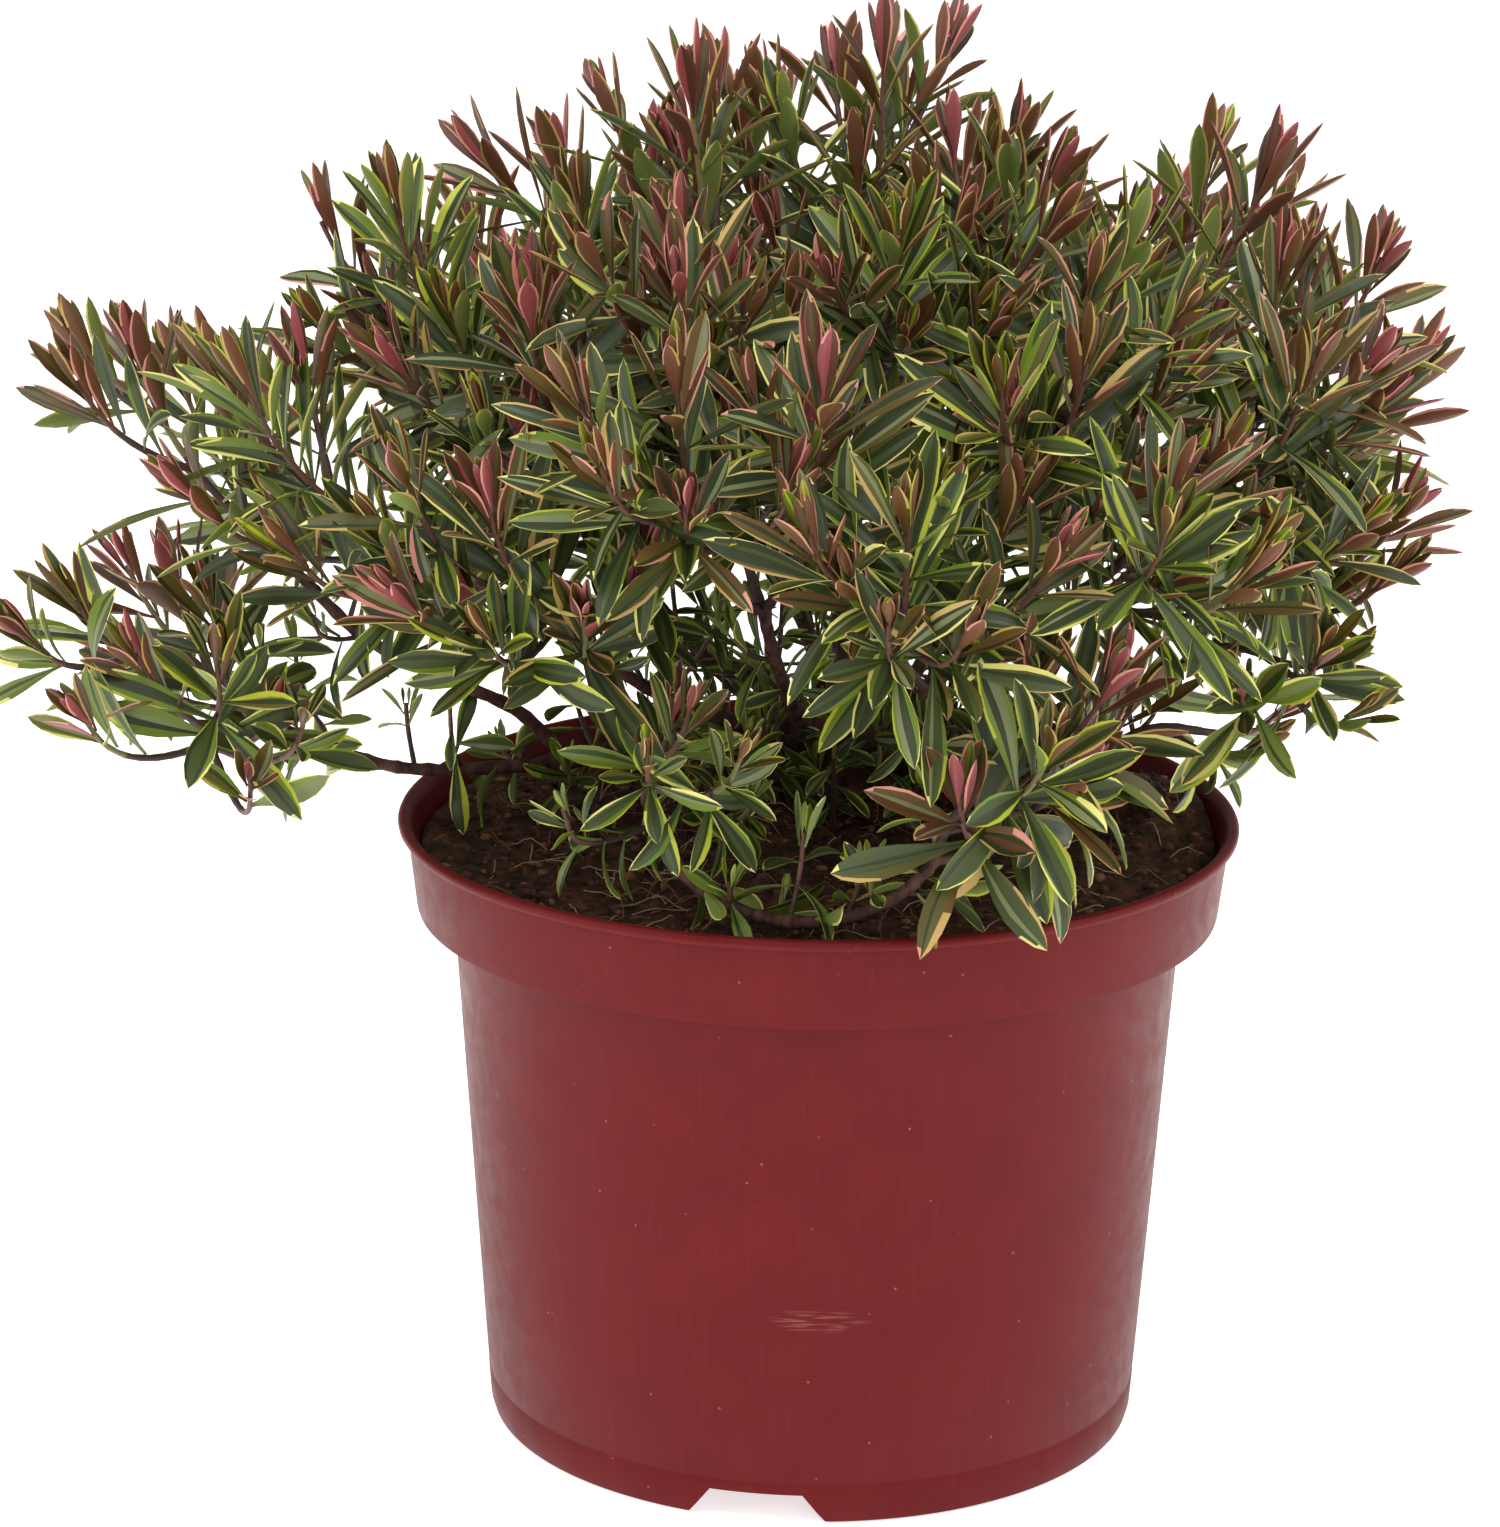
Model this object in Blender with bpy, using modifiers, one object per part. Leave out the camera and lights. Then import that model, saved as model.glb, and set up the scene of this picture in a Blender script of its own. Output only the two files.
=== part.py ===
"""Variegated hebe shrub growing in its round nursery pot.

The plant is a low, rounded evergreen bush, about 300 mm across. Many thin
boughs leave a short flared stem at the soil, and each ends in one or two
masses of foliage. A mass is a twig with side shoots that carry narrow leaves
in crossed pairs. The origin is the middle of the pot's flat underside, +Z is
up and -Y is the front. The tables below are in millimetres.
"""

import math
import random

import bmesh
import bpy
import numpy as np
from mathutils import Vector
from mathutils.bvhtree import BVHTree

MM = 0.001
UP = Vector((0.0, 0.0, 1.0))
CLEAR = 0.35
FLANK_CLEAR = 0.3

# The pot, a 17 cm nursery pot
POT_HEIGHT = 127.0
LIP_RADIUS = 85.0
LIP_DEPTH = 2.4
COLLAR_HEIGHT = 19.0
COLLAR_TOP_RADIUS = 83.1
COLLAR_BOTTOM_RADIUS = 81.3
BODY_TOP_RADIUS = 73.9
BASE_RADIUS = 66.0
WALL = 1.6
FLOOR_TOP = 8.3
POT_STEPS = 36

# The three drain channels cut in the underside, from the wall inwards
CHANNEL_HEIGHT = 6.3
CHANNEL_WIDTH_LOW = 28.0
CHANNEL_WIDTH_HIGH = 18.5
CHANNEL_INNER_RADIUS = 30.0
CHANNEL_AZIMUTHS = (-9.0, 111.0, -129.0)

# The soil, low at the front edge and humped round the stem and at the right
SOIL_EDGE = 119.0
SOIL_BACK_RISE = 3.0
SOIL_HUMP = 5.0
SOIL_HUMP_RADIUS = 42.0
SOIL_MOUND = 8.0
SOIL_MOUND_RADIUS = 16.0
SOIL_MOUND_PLACE = (66.0, 18.0)
SOIL_RINGS = 5
SOIL_STEPS = 30

# The short stem, a flared stool cut flat just above the soil
STEM_PLACE = (3.0, 20.0)
STEM_HEIGHT = 15.0
STEM_FLARE = 10.0
STEM_WAIST = 7.6
STEM_TOP = 6.4
STEM_STEPS = 18
STEM_LOBES = 6
STEM_LOBE = 0.09
STEM_LEAN = 1.2

# Limb and twig thickness, as radii
BOUGH_RADIUS = 2.0
BRANCH_RADIUS = 1.7
LIMB_TIP_RADIUS = 1.4
TWIG_RADIUS = 1.3
SHOOT_RADIUS = 1.2
SHOOT_TIP_RADIUS = 1.1
LIMB_POINTS = 6
TWIG_POINTS = 4
TWIG_SIDES = 4
FORK_OFFSET = 1.8

# Boughs that leave the stem: the azimuth (0 is the front, + turns right) and
# the level on the stem where each leaves, the azimuth, reach and height of
# its tip, and how far it sags on the way
BOUGHS = {
    "bough_left_low": (-95, 0.20, -90, 110, 143, 5),
    "bough_left_mid": (-62, 0.62, -58, 54, 170, 0),
    "bough_left_upper": (-100, 0.70, -92, 45, 188, 0),
    "bough_top_left": (-120, 1.0, -110, 22, 202, 0),
    "bough_top": (0, 1.0, 150, 14, 200, 0),
    "bough_top_right": (110, 1.0, 105, 33, 194, 0),
    "bough_right_low": (80, 0.25, 80, 66, 148, 2),
    "bough_front": (-22, 0.68, -20, 34, 178, 0),
    "bough_front_right": (30, 0.66, 30, 42, 164, 0),
    "bough_front_left": (-40, 0.18, -30, 62, 141, 0),
    "bough_back_left": (-150, 0.60, -138, 70, 168, 0),
    "bough_back": (170, 0.62, 176, 62, 178, 0),
    "bough_back_right": (128, 0.60, 136, 70, 170, 0),
}

# Branches that leave a bough: the bough, the share of its length at which
# they leave, the azimuth, reach and height of the tip, and the sag
BRANCHES = {
    "branch_left_long": ("bough_left_low", 0.45, -90, 104, 174, 5),
    "branch_right": ("bough_top_right", 0.30, 92, 66, 184, 0),
    "branch_right_side": ("bough_right_low", 0.50, 88, 80, 164, 0),
    "branch_front_right_upper": ("bough_front_right", 0.42, 48, 42, 188, 0),
    "branch_back_low": ("bough_back", 0.22, 178, 86, 148, 0),
    "branch_front_curl": ("bough_front_left", 1.0, 17, 80, 142, 17),
}

# Foliage masses: the limb that carries each, the azimuth, reach and height
# of its leading tip, and the number of side shoots
MASSES = {
    "foliage_left_low": ("bough_left_low", -85, 148, 174, 3),
    "foliage_left_low_front": ("bough_left_low", -58, 133, 178, 3),
    "foliage_left_mid": ("branch_left_long", -92, 137, 220, 3),
    "foliage_left_front": ("bough_left_mid", -63, 122, 228, 3),
    "foliage_front_left_mid": ("bough_left_mid", -37, 102, 212, 2),
    "foliage_left_upper": ("bough_left_upper", -75, 86, 256, 3),
    "foliage_front_left_upper": ("bough_left_upper", -42, 82, 243, 2),
    "foliage_top_left": ("bough_top_left", -79, 27, 276, 3),
    "foliage_top_left_rear": ("bough_top_left", -122, 64, 255, 2),
    "foliage_top": ("bough_top", 155, 26, 279, 3),
    "foliage_upper_centre": ("bough_top", 15, 52, 256, 2),
    "foliage_top_right": ("bough_top_right", 90, 36, 264, 2),
    "foliage_right_top": ("bough_top_right", 98, 88, 259, 3),
    "foliage_right_upper": ("branch_right", 84, 108, 246, 2),
    "foliage_right_mid": ("branch_right", 97, 119, 219, 2),
    "foliage_right_side": ("branch_right_side", 84, 115, 197, 2),
    "foliage_right_low": ("branch_right_side", 62, 108, 178, 2),
    "foliage_right_lowest": ("bough_right_low", 88, 92, 152, 2),
    "foliage_upper_left": ("bough_front", -30, 56, 255, 2),
    "foliage_front_left": ("bough_front", -16, 97, 238, 2),
    "foliage_front_mid": ("bough_front_right", 8, 109, 217, 2),
    "foliage_front_right_mid": ("bough_front_right", 38, 105, 217, 2),
    "foliage_front_right_upper": ("branch_front_right_upper", 35, 84, 237, 2),
    "foliage_upper_right": ("branch_front_right_upper", 60, 67, 254, 2),
    "foliage_front_left_low": ("bough_front_left", -18, 78, 172, 2),
    "foliage_front_right_low": ("branch_front_curl", 29, 108, 183, 3),
    "foliage_front_low": ("branch_front_curl", 14, 106, 164, 2),
    "foliage_front_centre": ("bough_front", 0, 98, 240, 2),
    "foliage_right_front": ("branch_right", 66, 101, 231, 2),
    "foliage_back_left_low": ("bough_back_left", -120, 136, 186, 3),
    "foliage_back_left": ("bough_back_left", -138, 112, 232, 3),
    "foliage_back_upper": ("bough_back", -165, 72, 258, 2),
    "foliage_back": ("bough_back", 178, 122, 220, 3),
    "foliage_back_right_upper": ("bough_back", 148, 74, 256, 2),
    "foliage_back_left_mid": ("bough_back_left", -157, 126, 200, 2),
    "foliage_back_right": ("bough_back_right", 138, 110, 236, 3),
    "foliage_back_right_low": ("bough_back_right", 118, 122, 190, 3),
    "foliage_back_low": ("branch_back_low", 176, 134, 168, 3),
}

# The crown's outline: a dome that is rounder than an ellipsoid at the shoulders
CROWN_CENTRE = (-15.0, 0.0, 150.0)
CROWN_RADII = (154.0, 142.0)
CROWN_RISE = 146.0
CROWN_DROP = 34.0
CROWN_POWER = 2.6

# Leaves, larger than life because the solids carry fewer of them
LEAF_LENGTH = 36.0
LEAF_WIDTH = 10.5
LEAF_TIP_SHARE = 0.52
LEAF_TRIMS = (1.0, 0.82, 0.66)
LEAF_THICKNESS = 1.5
LEAF_ROOT_SHARE = 0.06
LEAF_ROOT_OFFSET = 0.12
LEAF_FACES = (
    (0, 2, 1),
    (0, 1, 4, 3), (1, 2, 5, 4), (2, 0, 3, 5),
    (3, 4, 6), (4, 5, 6), (5, 3, 6),
)
LEAF_WIDEST = 0.58
ROOT_SPARED = 0.25
PAIR_SPACING = 11.2
LEAN_LOW = 62.0
LEAN_GAIN = 40.0
LEAN_SPREAD = 6.0
BARE_LEADER = 0.24
BARE_SHOOT = 0.3
LAST_PAIR = 0.96

# Side shoots: where they leave a mass's twig, how long they are and their tries
FIRST_SHOOT = 0.12
SHOOT_SPAN = 0.55
SHOOT_LENGTH = 22.0
SHOOT_SHARE = 0.3
SHOOT_FORWARD = 0.55
SHOOT_UPWARD = 0.3
SHOOT_OUTWARD = 0.15
SHOOT_LEAF_ROOM = 12.0
SHOOT_TRIES = 40
SHOOT_TRIMS = (1.0, 0.85, 0.7, 0.55)
SHOOT_PATIENCE = 8
GOLDEN_ANGLE = 137.5
CELL_MARGIN = 0.4
LIMB_MARGIN = 0.6
POT_MARGIN = 1.4
LEAF_HANG = 22.0
MASS_REACH = 46.0

BARK = (0.055, 0.030, 0.026)
POT_RED = (0.205, 0.024, 0.026)
SOIL_BROWN = (0.030, 0.016, 0.010)
LEAF_GREEN = (0.095, 0.135, 0.050)


def polar(azimuth, reach, height):
    """A point from its azimuth round the pot, its reach and its height."""
    angle = math.radians(azimuth)
    return Vector((reach * math.sin(angle), -reach * math.cos(angle), height))


def heading(azimuth):
    """The level direction that points to an azimuth."""
    return polar(azimuth, 1.0, 0.0)


def bezier(start, near, far, end, count):
    """Points along a cubic curve."""
    points = []
    for index in range(count):
        t = index / (count - 1)
        s = 1.0 - t
        points.append(s * s * s * start + 3 * s * s * t * near + 3 * s * t * t * far + t * t * t * end)
    return points


def make_material(name, colour, roughness):
    """A Principled material with one plain colour."""
    material = bpy.data.materials.new(name)
    material.use_nodes = True
    shader = material.node_tree.nodes["Principled BSDF"]
    shader.inputs["Base Color"].default_value = (*colour, 1.0)
    shader.inputs["Roughness"].default_value = roughness
    shader.inputs["Metallic"].default_value = 0.0
    return material


def add_object(name, mesh, collection, material):
    """Put a mesh in the scene as a named object."""
    thing = bpy.data.objects.new(name, mesh)
    collection.objects.link(thing)
    if material is not None:
        mesh.materials.append(material)
    return thing


def soil_height(x, y):
    """Height of the soil's surface at a place in the pot."""
    back = SOIL_BACK_RISE * (0.5 + 0.5 * y / BODY_TOP_RADIUS)
    from_stem = math.hypot(x - STEM_PLACE[0], y - STEM_PLACE[1])
    hump = SOIL_HUMP * math.exp(-(from_stem / SOIL_HUMP_RADIUS) ** 2)
    from_mound = math.hypot(x - SOIL_MOUND_PLACE[0], y - SOIL_MOUND_PLACE[1])
    mound = SOIL_MOUND * math.exp(-(from_mound / SOIL_MOUND_RADIUS) ** 2)
    return SOIL_EDGE + back + hump + mound


def build_pot(collection, cutters, material):
    """A turned plastic pot with a collar and lip, and three drain channels."""
    collar_foot = POT_HEIGHT - COLLAR_HEIGHT
    lip_foot = POT_HEIGHT - LIP_DEPTH
    profile = [
        (0.0, FLOOR_TOP),
        (BASE_RADIUS - WALL, FLOOR_TOP),
        (BODY_TOP_RADIUS - WALL, collar_foot + WALL),
        (COLLAR_BOTTOM_RADIUS - WALL, collar_foot + WALL),
        (COLLAR_TOP_RADIUS - WALL, lip_foot),
        (COLLAR_TOP_RADIUS - WALL + 0.5, POT_HEIGHT),
        (LIP_RADIUS - 0.6, POT_HEIGHT),
        (LIP_RADIUS, POT_HEIGHT - 0.8),
        (LIP_RADIUS, lip_foot + 0.4),
        (COLLAR_TOP_RADIUS, lip_foot),
        (COLLAR_BOTTOM_RADIUS, collar_foot),
        (BODY_TOP_RADIUS, collar_foot),
        (BASE_RADIUS + 0.6, 2.2),
        (BASE_RADIUS - 0.8, 0.0),
        (0.0, 0.0),
    ]
    mesh = bpy.data.meshes.new("pot")
    vertices = [(radius * MM, 0.0, height * MM) for radius, height in profile]
    edges = [(index, index + 1) for index in range(len(profile) - 1)]
    mesh.from_pydata(vertices, edges, [])
    pot = add_object("pot", mesh, collection, material)
    turn = pot.modifiers.new("turn", "SCREW")
    turn.angle = math.radians(360)
    turn.steps = POT_STEPS
    turn.render_steps = POT_STEPS
    turn.use_merge_vertices = True
    turn.merge_threshold = 0.00001
    turn.use_normal_calculate = False

    for number, azimuth in enumerate(CHANNEL_AZIMUTHS):
        cutter = add_object(f"channel_{number}", channel_mesh(), cutters, None)
        cutter.rotation_euler.z = math.radians(azimuth)
        cutter.hide_render = True
        cutter.display_type = "WIRE"
        cut = pot.modifiers.new(f"channel_{number}", "BOOLEAN")
        cut.operation = "DIFFERENCE"
        cut.solver = "EXACT"
        cut.object = cutter
    return pot


def channel_mesh():
    """A bar with sloping sides that runs out from under the pot's floor."""
    mesh = bpy.data.meshes.new("channel")
    shape = bmesh.new()
    bmesh.ops.create_cube(shape, size=1.0)
    near = -CHANNEL_INNER_RADIUS
    far = -(BASE_RADIUS + 10.0)
    for vertex in shape.verts:
        low = vertex.co.z < 0
        width = CHANNEL_WIDTH_LOW + 2.0 if low else CHANNEL_WIDTH_HIGH
        x = math.copysign(width / 2, vertex.co.x)
        y = far if vertex.co.y < 0 else near
        z = -2.0 if low else CHANNEL_HEIGHT
        vertex.co = Vector((x, y, z)) * MM
    shape.to_mesh(mesh)
    shape.free()
    return mesh


def build_soil(collection, material):
    """The soil that fills the pot, with an uneven top."""
    collar_foot = POT_HEIGHT - COLLAR_HEIGHT
    shape = bmesh.new()
    centre = shape.verts.new(Vector((0, 0, soil_height(0, 0))) * MM)
    rings = []
    edge_radius = COLLAR_BOTTOM_RADIUS - WALL - 2 * CLEAR
    for number in range(1, SOIL_RINGS + 1):
        radius = edge_radius * number / SOIL_RINGS
        rings.append(soil_ring(shape, radius, None))
    for radius, height in (
        (edge_radius, collar_foot + WALL + CLEAR),
        (BODY_TOP_RADIUS - WALL - 3 * CLEAR, collar_foot + WALL + CLEAR),
        (BASE_RADIUS - WALL - 3 * CLEAR, FLOOR_TOP + CLEAR),
    ):
        rings.append(soil_ring(shape, radius, height))
    for step in range(SOIL_STEPS):
        following = (step + 1) % SOIL_STEPS
        shape.faces.new((centre, rings[0][step], rings[0][following]))
        for inner, outer in zip(rings, rings[1:]):
            shape.faces.new((inner[step], outer[step], outer[following], inner[following]))
    shape.faces.new(list(reversed(rings[-1])))
    bmesh.ops.recalc_face_normals(shape, faces=shape.faces)
    mesh = bpy.data.meshes.new("soil")
    shape.to_mesh(mesh)
    shape.free()
    return add_object("soil", mesh, collection, material)


def soil_ring(shape, radius, height):
    """One ring of the soil's vertices, on its surface when no height is given."""
    ring = []
    for step in range(SOIL_STEPS):
        angle = 2 * math.pi * step / SOIL_STEPS
        x = radius * math.cos(angle)
        y = radius * math.sin(angle)
        z = soil_height(x, y) if height is None else height
        ring.append(shape.verts.new(Vector((x, y, z)) * MM))
    return ring


def stem_foot():
    """Height of the flat cut under the stem, just clear of the soil."""
    highest = 0.0
    for step in range(STEM_STEPS):
        angle = 2 * math.pi * step / STEM_STEPS
        for radius in (0.0, STEM_FLARE * 0.6, STEM_FLARE * 1.15):
            x = STEM_PLACE[0] + radius * math.cos(angle)
            y = STEM_PLACE[1] + radius * math.sin(angle)
            highest = max(highest, soil_height(x, y))
    return highest + CLEAR


def stem_radius(level):
    """Radius of the stem at a level from 0 at the cut to 1 at its top."""
    if level < 0.4:
        t = level / 0.4
        return STEM_WAIST + (STEM_FLARE - STEM_WAIST) * (1 - t) ** 2
    return STEM_WAIST + (STEM_TOP - STEM_WAIST) * (level - 0.4) / 0.6


def stem_centre(level):
    """Middle of the stem at a level, with its slight lean."""
    foot = stem_foot()
    return Vector((STEM_PLACE[0] + STEM_LEAN * level, STEM_PLACE[1], foot + STEM_HEIGHT * level))


def build_stem(collection, material):
    """The stool: lobed root flare, waist and a flat top that the boughs leave."""
    levels = (0.0, 0.1, 0.22, 0.4, 0.7, 0.94, 1.0)
    shape = bmesh.new()
    rings = []
    for level in levels:
        centre = stem_centre(level)
        lobe = STEM_LOBE * (1 - level) ** 2
        shrink = 0.9 if level == 1.0 else 1.0
        ring = []
        for step in range(STEM_STEPS):
            angle = 2 * math.pi * step / STEM_STEPS
            radius = stem_radius(level) * shrink * (1 + lobe * math.cos(STEM_LOBES * angle))
            place = centre + Vector((radius * math.cos(angle), radius * math.sin(angle), 0))
            ring.append(shape.verts.new(place * MM))
        rings.append(ring)
    shape.faces.new(list(reversed(rings[0])))
    shape.faces.new(rings[-1])
    for lower, upper in zip(rings, rings[1:]):
        for step in range(STEM_STEPS):
            following = (step + 1) % STEM_STEPS
            shape.faces.new((lower[step], lower[following], upper[following], upper[step]))
    mesh = bpy.data.meshes.new("stem_base")
    shape.to_mesh(mesh)
    shape.free()
    return add_object("stem_base", mesh, collection, material)


def rising_path(start, out, tip, sag, count):
    """A limb's line: straight out at first, then over and up to its tip."""
    begin = start + out * 1.5
    length = (tip - begin).length
    along = (tip - begin).normalized()
    near = begin + (out + along * 0.6 + UP * 0.35).normalized() * length * 0.3
    far = tip - (along + UP * 0.45).normalized() * length * 0.32
    drop = UP * sag
    return [start] + bezier(begin, near - drop, far - drop, tip, count - 1)


def bough_path(name):
    """The line of a bough that leaves the stem."""
    leave, level, azimuth, reach, height, sag = BOUGHS[name]
    if level < 1.0:
        lobe = 1 + STEM_LOBE * (1 - level) ** 2
        slope = (stem_radius(level - 0.05) - stem_radius(level + 0.05)) / (0.1 * STEM_HEIGHT)
        out = (heading(leave) + UP * slope).normalized()
        flank = stem_centre(level) + heading(leave) * (stem_radius(level) * lobe)
        start = flank + out * (CLEAR + FLANK_CLEAR)
    else:
        out = UP.copy()
        start = stem_centre(1.0) + heading(leave) * (STEM_TOP * 0.52) + UP * CLEAR
    return rising_path(start, out, polar(azimuth, reach, height), sag, LIMB_POINTS)


def along_path(path, share):
    """The point and direction at a share of a path's length."""
    lengths = [(b - a).length for a, b in zip(path, path[1:])]
    left = share * sum(lengths)
    for index, length in enumerate(lengths):
        if left <= length or index == len(lengths) - 1:
            a = path[index]
            b = path[index + 1]
            return a.lerp(b, min(1.0, left / length)), (b - a).normalized()
        left -= length
    return path[-1], (path[-1] - path[-2]).normalized()


def sharers(limb):
    """Everything that grows on from a limb's tip, each with the point it aims at."""
    aims = {name: polar(*values[1:4]) for name, values in MASSES.items() if values[0] == limb}
    for name, values in BRANCHES.items():
        if values[0] == limb and values[1] >= 1.0:
            aims[name] = polar(*values[2:5])
    return aims


def fork(limb, name, path):
    """Where a twig or branch starts at a limb's tip, and the ways it leaves."""
    tip = path[-1]
    direction = (path[-1] - path[-2]).normalized()
    aims = sharers(limb)
    if len(aims) == 1:
        return tip + direction * CLEAR, direction, direction
    across = direction.cross(UP)
    if across.length < 0.1:
        across = direction.cross(Vector((1.0, 0.0, 0.0)))
    across.normalize()
    over = direction.cross(across)
    angles = {}
    for other, aim in aims.items():
        angles[other] = math.atan2((aim - tip).dot(over), (aim - tip).dot(across))
    order = sorted(angles, key=angles.get)
    step = 2 * math.pi / len(order)
    lag = [angles[other] - index * step for index, other in enumerate(order)]
    base = math.atan2(sum(map(math.sin, lag)), sum(map(math.cos, lag)))
    angle = base + order.index(name) * step
    apart = across * math.cos(angle) + over * math.sin(angle)
    start = tip + direction * (CLEAR + 0.2) + apart * FORK_OFFSET
    return start, direction, (direction + apart * 0.5).normalized()


def branch_path(name, paths):
    """The line of a branch that leaves a bough's side or goes on from its tip."""
    parent, share, azimuth, reach, height, sag = BRANCHES[name]
    tip = polar(azimuth, reach, height)
    if share >= 1.0:
        start, _, leave = fork(parent, name, paths[parent])
        return rising_path(start, leave, tip, sag, LIMB_POINTS + 3)
    place, direction = along_path(paths[parent], share)
    aim = tip - place
    out = (aim - direction * aim.dot(direction)).normalized()
    radius = BOUGH_RADIUS + (LIMB_TIP_RADIUS - BOUGH_RADIUS) * share
    return rising_path(place + out * (radius + CLEAR), out, tip, sag, LIMB_POINTS)


def limb_lines():
    """Every limb's line and its start and tip radius."""
    paths = {name: bough_path(name) for name in BOUGHS}
    radii = {name: (BOUGH_RADIUS, LIMB_TIP_RADIUS) for name in BOUGHS}
    for name in BRANCHES:
        paths[name] = branch_path(name, paths)
        radii[name] = (BRANCH_RADIUS, LIMB_TIP_RADIUS)
    return paths, radii


def build_limb(name, path, radii, collection, material):
    """One tapering limb as a bevelled curve with closed ends."""
    curve = bpy.data.curves.new(name, "CURVE")
    curve.dimensions = "3D"
    curve.bevel_depth = 1.0 * MM
    curve.bevel_resolution = 1
    curve.use_fill_caps = True
    spline = curve.splines.new("POLY")
    spline.points.add(len(path) - 1)
    for index, place in enumerate(path):
        share = index / (len(path) - 1)
        spline.points[index].co = (*(place * MM), 1.0)
        spline.points[index].radius = radii[0] + (radii[1] - radii[0]) * share
    curve.materials.append(material)
    limb = bpy.data.objects.new(name, curve)
    collection.objects.link(limb)
    return limb


def mass_axes(paths):
    """The main twig's line of every mass, and the direction its foot is square to."""
    axes = {}
    feet = {}
    for name, (limb, azimuth, reach, height, _) in MASSES.items():
        apex = polar(azimuth, reach, height)
        foot, square, leave = fork(limb, name, paths[limb])
        length = (apex - foot).length
        along = (apex - foot).normalized()
        near = foot + leave * length * 0.3
        far = apex - (along + UP * 0.5).normalized() * length * 0.35
        axes[name] = bezier(foot, near, far, apex, TWIG_POINTS)
        feet[name] = square
    return axes, feet


class Neighbours:
    """Tells whether points keep to a mass's own space."""

    def __init__(self, axes, paths, radii):
        starts = []
        ends = []
        owners = []
        for number, line in enumerate(axes.values()):
            for a, b in zip(line, line[1:]):
                starts.append(a)
                ends.append(b)
                owners.append(number)
        self.cell_starts = np.array(starts)
        self.cell_ends = np.array(ends)
        self.owners = np.array(owners)
        self.numbers = {name: number for number, name in enumerate(axes)}
        starts = []
        ends = []
        sizes = []
        for name, line in paths.items():
            for index, (a, b) in enumerate(zip(line, line[1:])):
                share = index / (len(line) - 1)
                starts.append(a)
                ends.append(b)
                sizes.append(radii[name][0] + (radii[name][1] - radii[name][0]) * share)
        self.limb_starts = np.array(starts)
        self.limb_ends = np.array(ends)
        self.limb_sizes = np.array(sizes)

    def keeps_clear(self, name, points):
        """True when every point lies in the mass's cell and off limbs, pot and soil."""
        cloud = np.array(points)
        apart = segment_distances(cloud, self.cell_starts, self.cell_ends)
        mine = self.owners == self.numbers[name]
        own = apart[:, mine].min(axis=1)
        if own.max() > MASS_REACH:
            return False
        if (apart[:, ~mine].min(axis=1) < own + 2 * CELL_MARGIN).any():
            return False
        limbs = segment_distances(cloud, self.limb_starts, self.limb_ends)
        if (limbs < self.limb_sizes + LIMB_MARGIN).any():
            return False
        return all(clear_of_pot(point) for point in cloud)


def segment_distances(points, starts, ends):
    """Distance from each point to each line segment."""
    along = ends - starts
    offset = points[:, None, :] - starts[None, :, :]
    share = (offset * along).sum(axis=2) / (along * along).sum(axis=1)
    nearest = along[None, :, :] * np.clip(share, 0.0, 1.0)[:, :, None]
    return np.linalg.norm(offset - nearest, axis=2)


def clear_of_pot(point):
    """True when a point is off the pot's wall and lip and above its soil."""
    reach = math.hypot(point[0], point[1])
    if reach > LIP_RADIUS + POT_MARGIN:
        return point[2] > POT_HEIGHT - LEAF_HANG
    if reach > COLLAR_BOTTOM_RADIUS - WALL - POT_MARGIN and point[2] < POT_HEIGHT + POT_MARGIN:
        return False
    return point[2] > soil_height(point[0], point[1]) + POT_MARGIN


def inside_crown(point):
    """True when a point is within the crown's outline."""
    rise = CROWN_RISE if point[2] > CROWN_CENTRE[2] else CROWN_DROP
    shares = (
        (point[0] - CROWN_CENTRE[0]) / CROWN_RADII[0],
        (point[1] - CROWN_CENTRE[1]) / CROWN_RADII[1],
        (point[2] - CROWN_CENTRE[2]) / rise,
    )
    return sum(abs(share) ** CROWN_POWER for share in shares) < 1.0


def turned(direction, reference, roll):
    """The reference turned round a twig's direction by an angle in degrees."""
    angle = math.radians(roll)
    return reference * math.cos(angle) + direction.cross(reference) * math.sin(angle)


class Twig:
    """A line with a reference direction carried along it without twisting."""

    def __init__(self, line, roll):
        self.line = line
        first = (line[1] - line[0]).normalized()
        across = first.cross(UP)
        if across.length < 0.1:
            across = first.cross(Vector((1.0, 0.0, 0.0)))
        reference = turned(first, across.normalized(), roll)
        self.directions = []
        self.references = []
        for index in range(len(line)):
            before = line[max(0, index - 1)]
            after = line[min(len(line) - 1, index + 1)]
            direction = (after - before).normalized()
            reference = (reference - direction * reference.dot(direction)).normalized()
            self.directions.append(direction)
            self.references.append(reference)
        self.lengths = [(b - a).length for a, b in zip(line, line[1:])]
        self.length = sum(self.lengths)

    def at(self, share):
        """The place, direction and reference at a share of the length."""
        left = share * self.length
        index = 0
        while index < len(self.lengths) - 1 and left > self.lengths[index]:
            left -= self.lengths[index]
            index += 1
        a = self.line[index]
        b = self.line[index + 1]
        direction = (b - a).normalized()
        blend = min(1.0, left / self.lengths[index])
        reference = self.references[index].lerp(self.references[index + 1], blend)
        reference = (reference - direction * reference.dot(direction)).normalized()
        return a.lerp(b, blend), direction, reference


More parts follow.
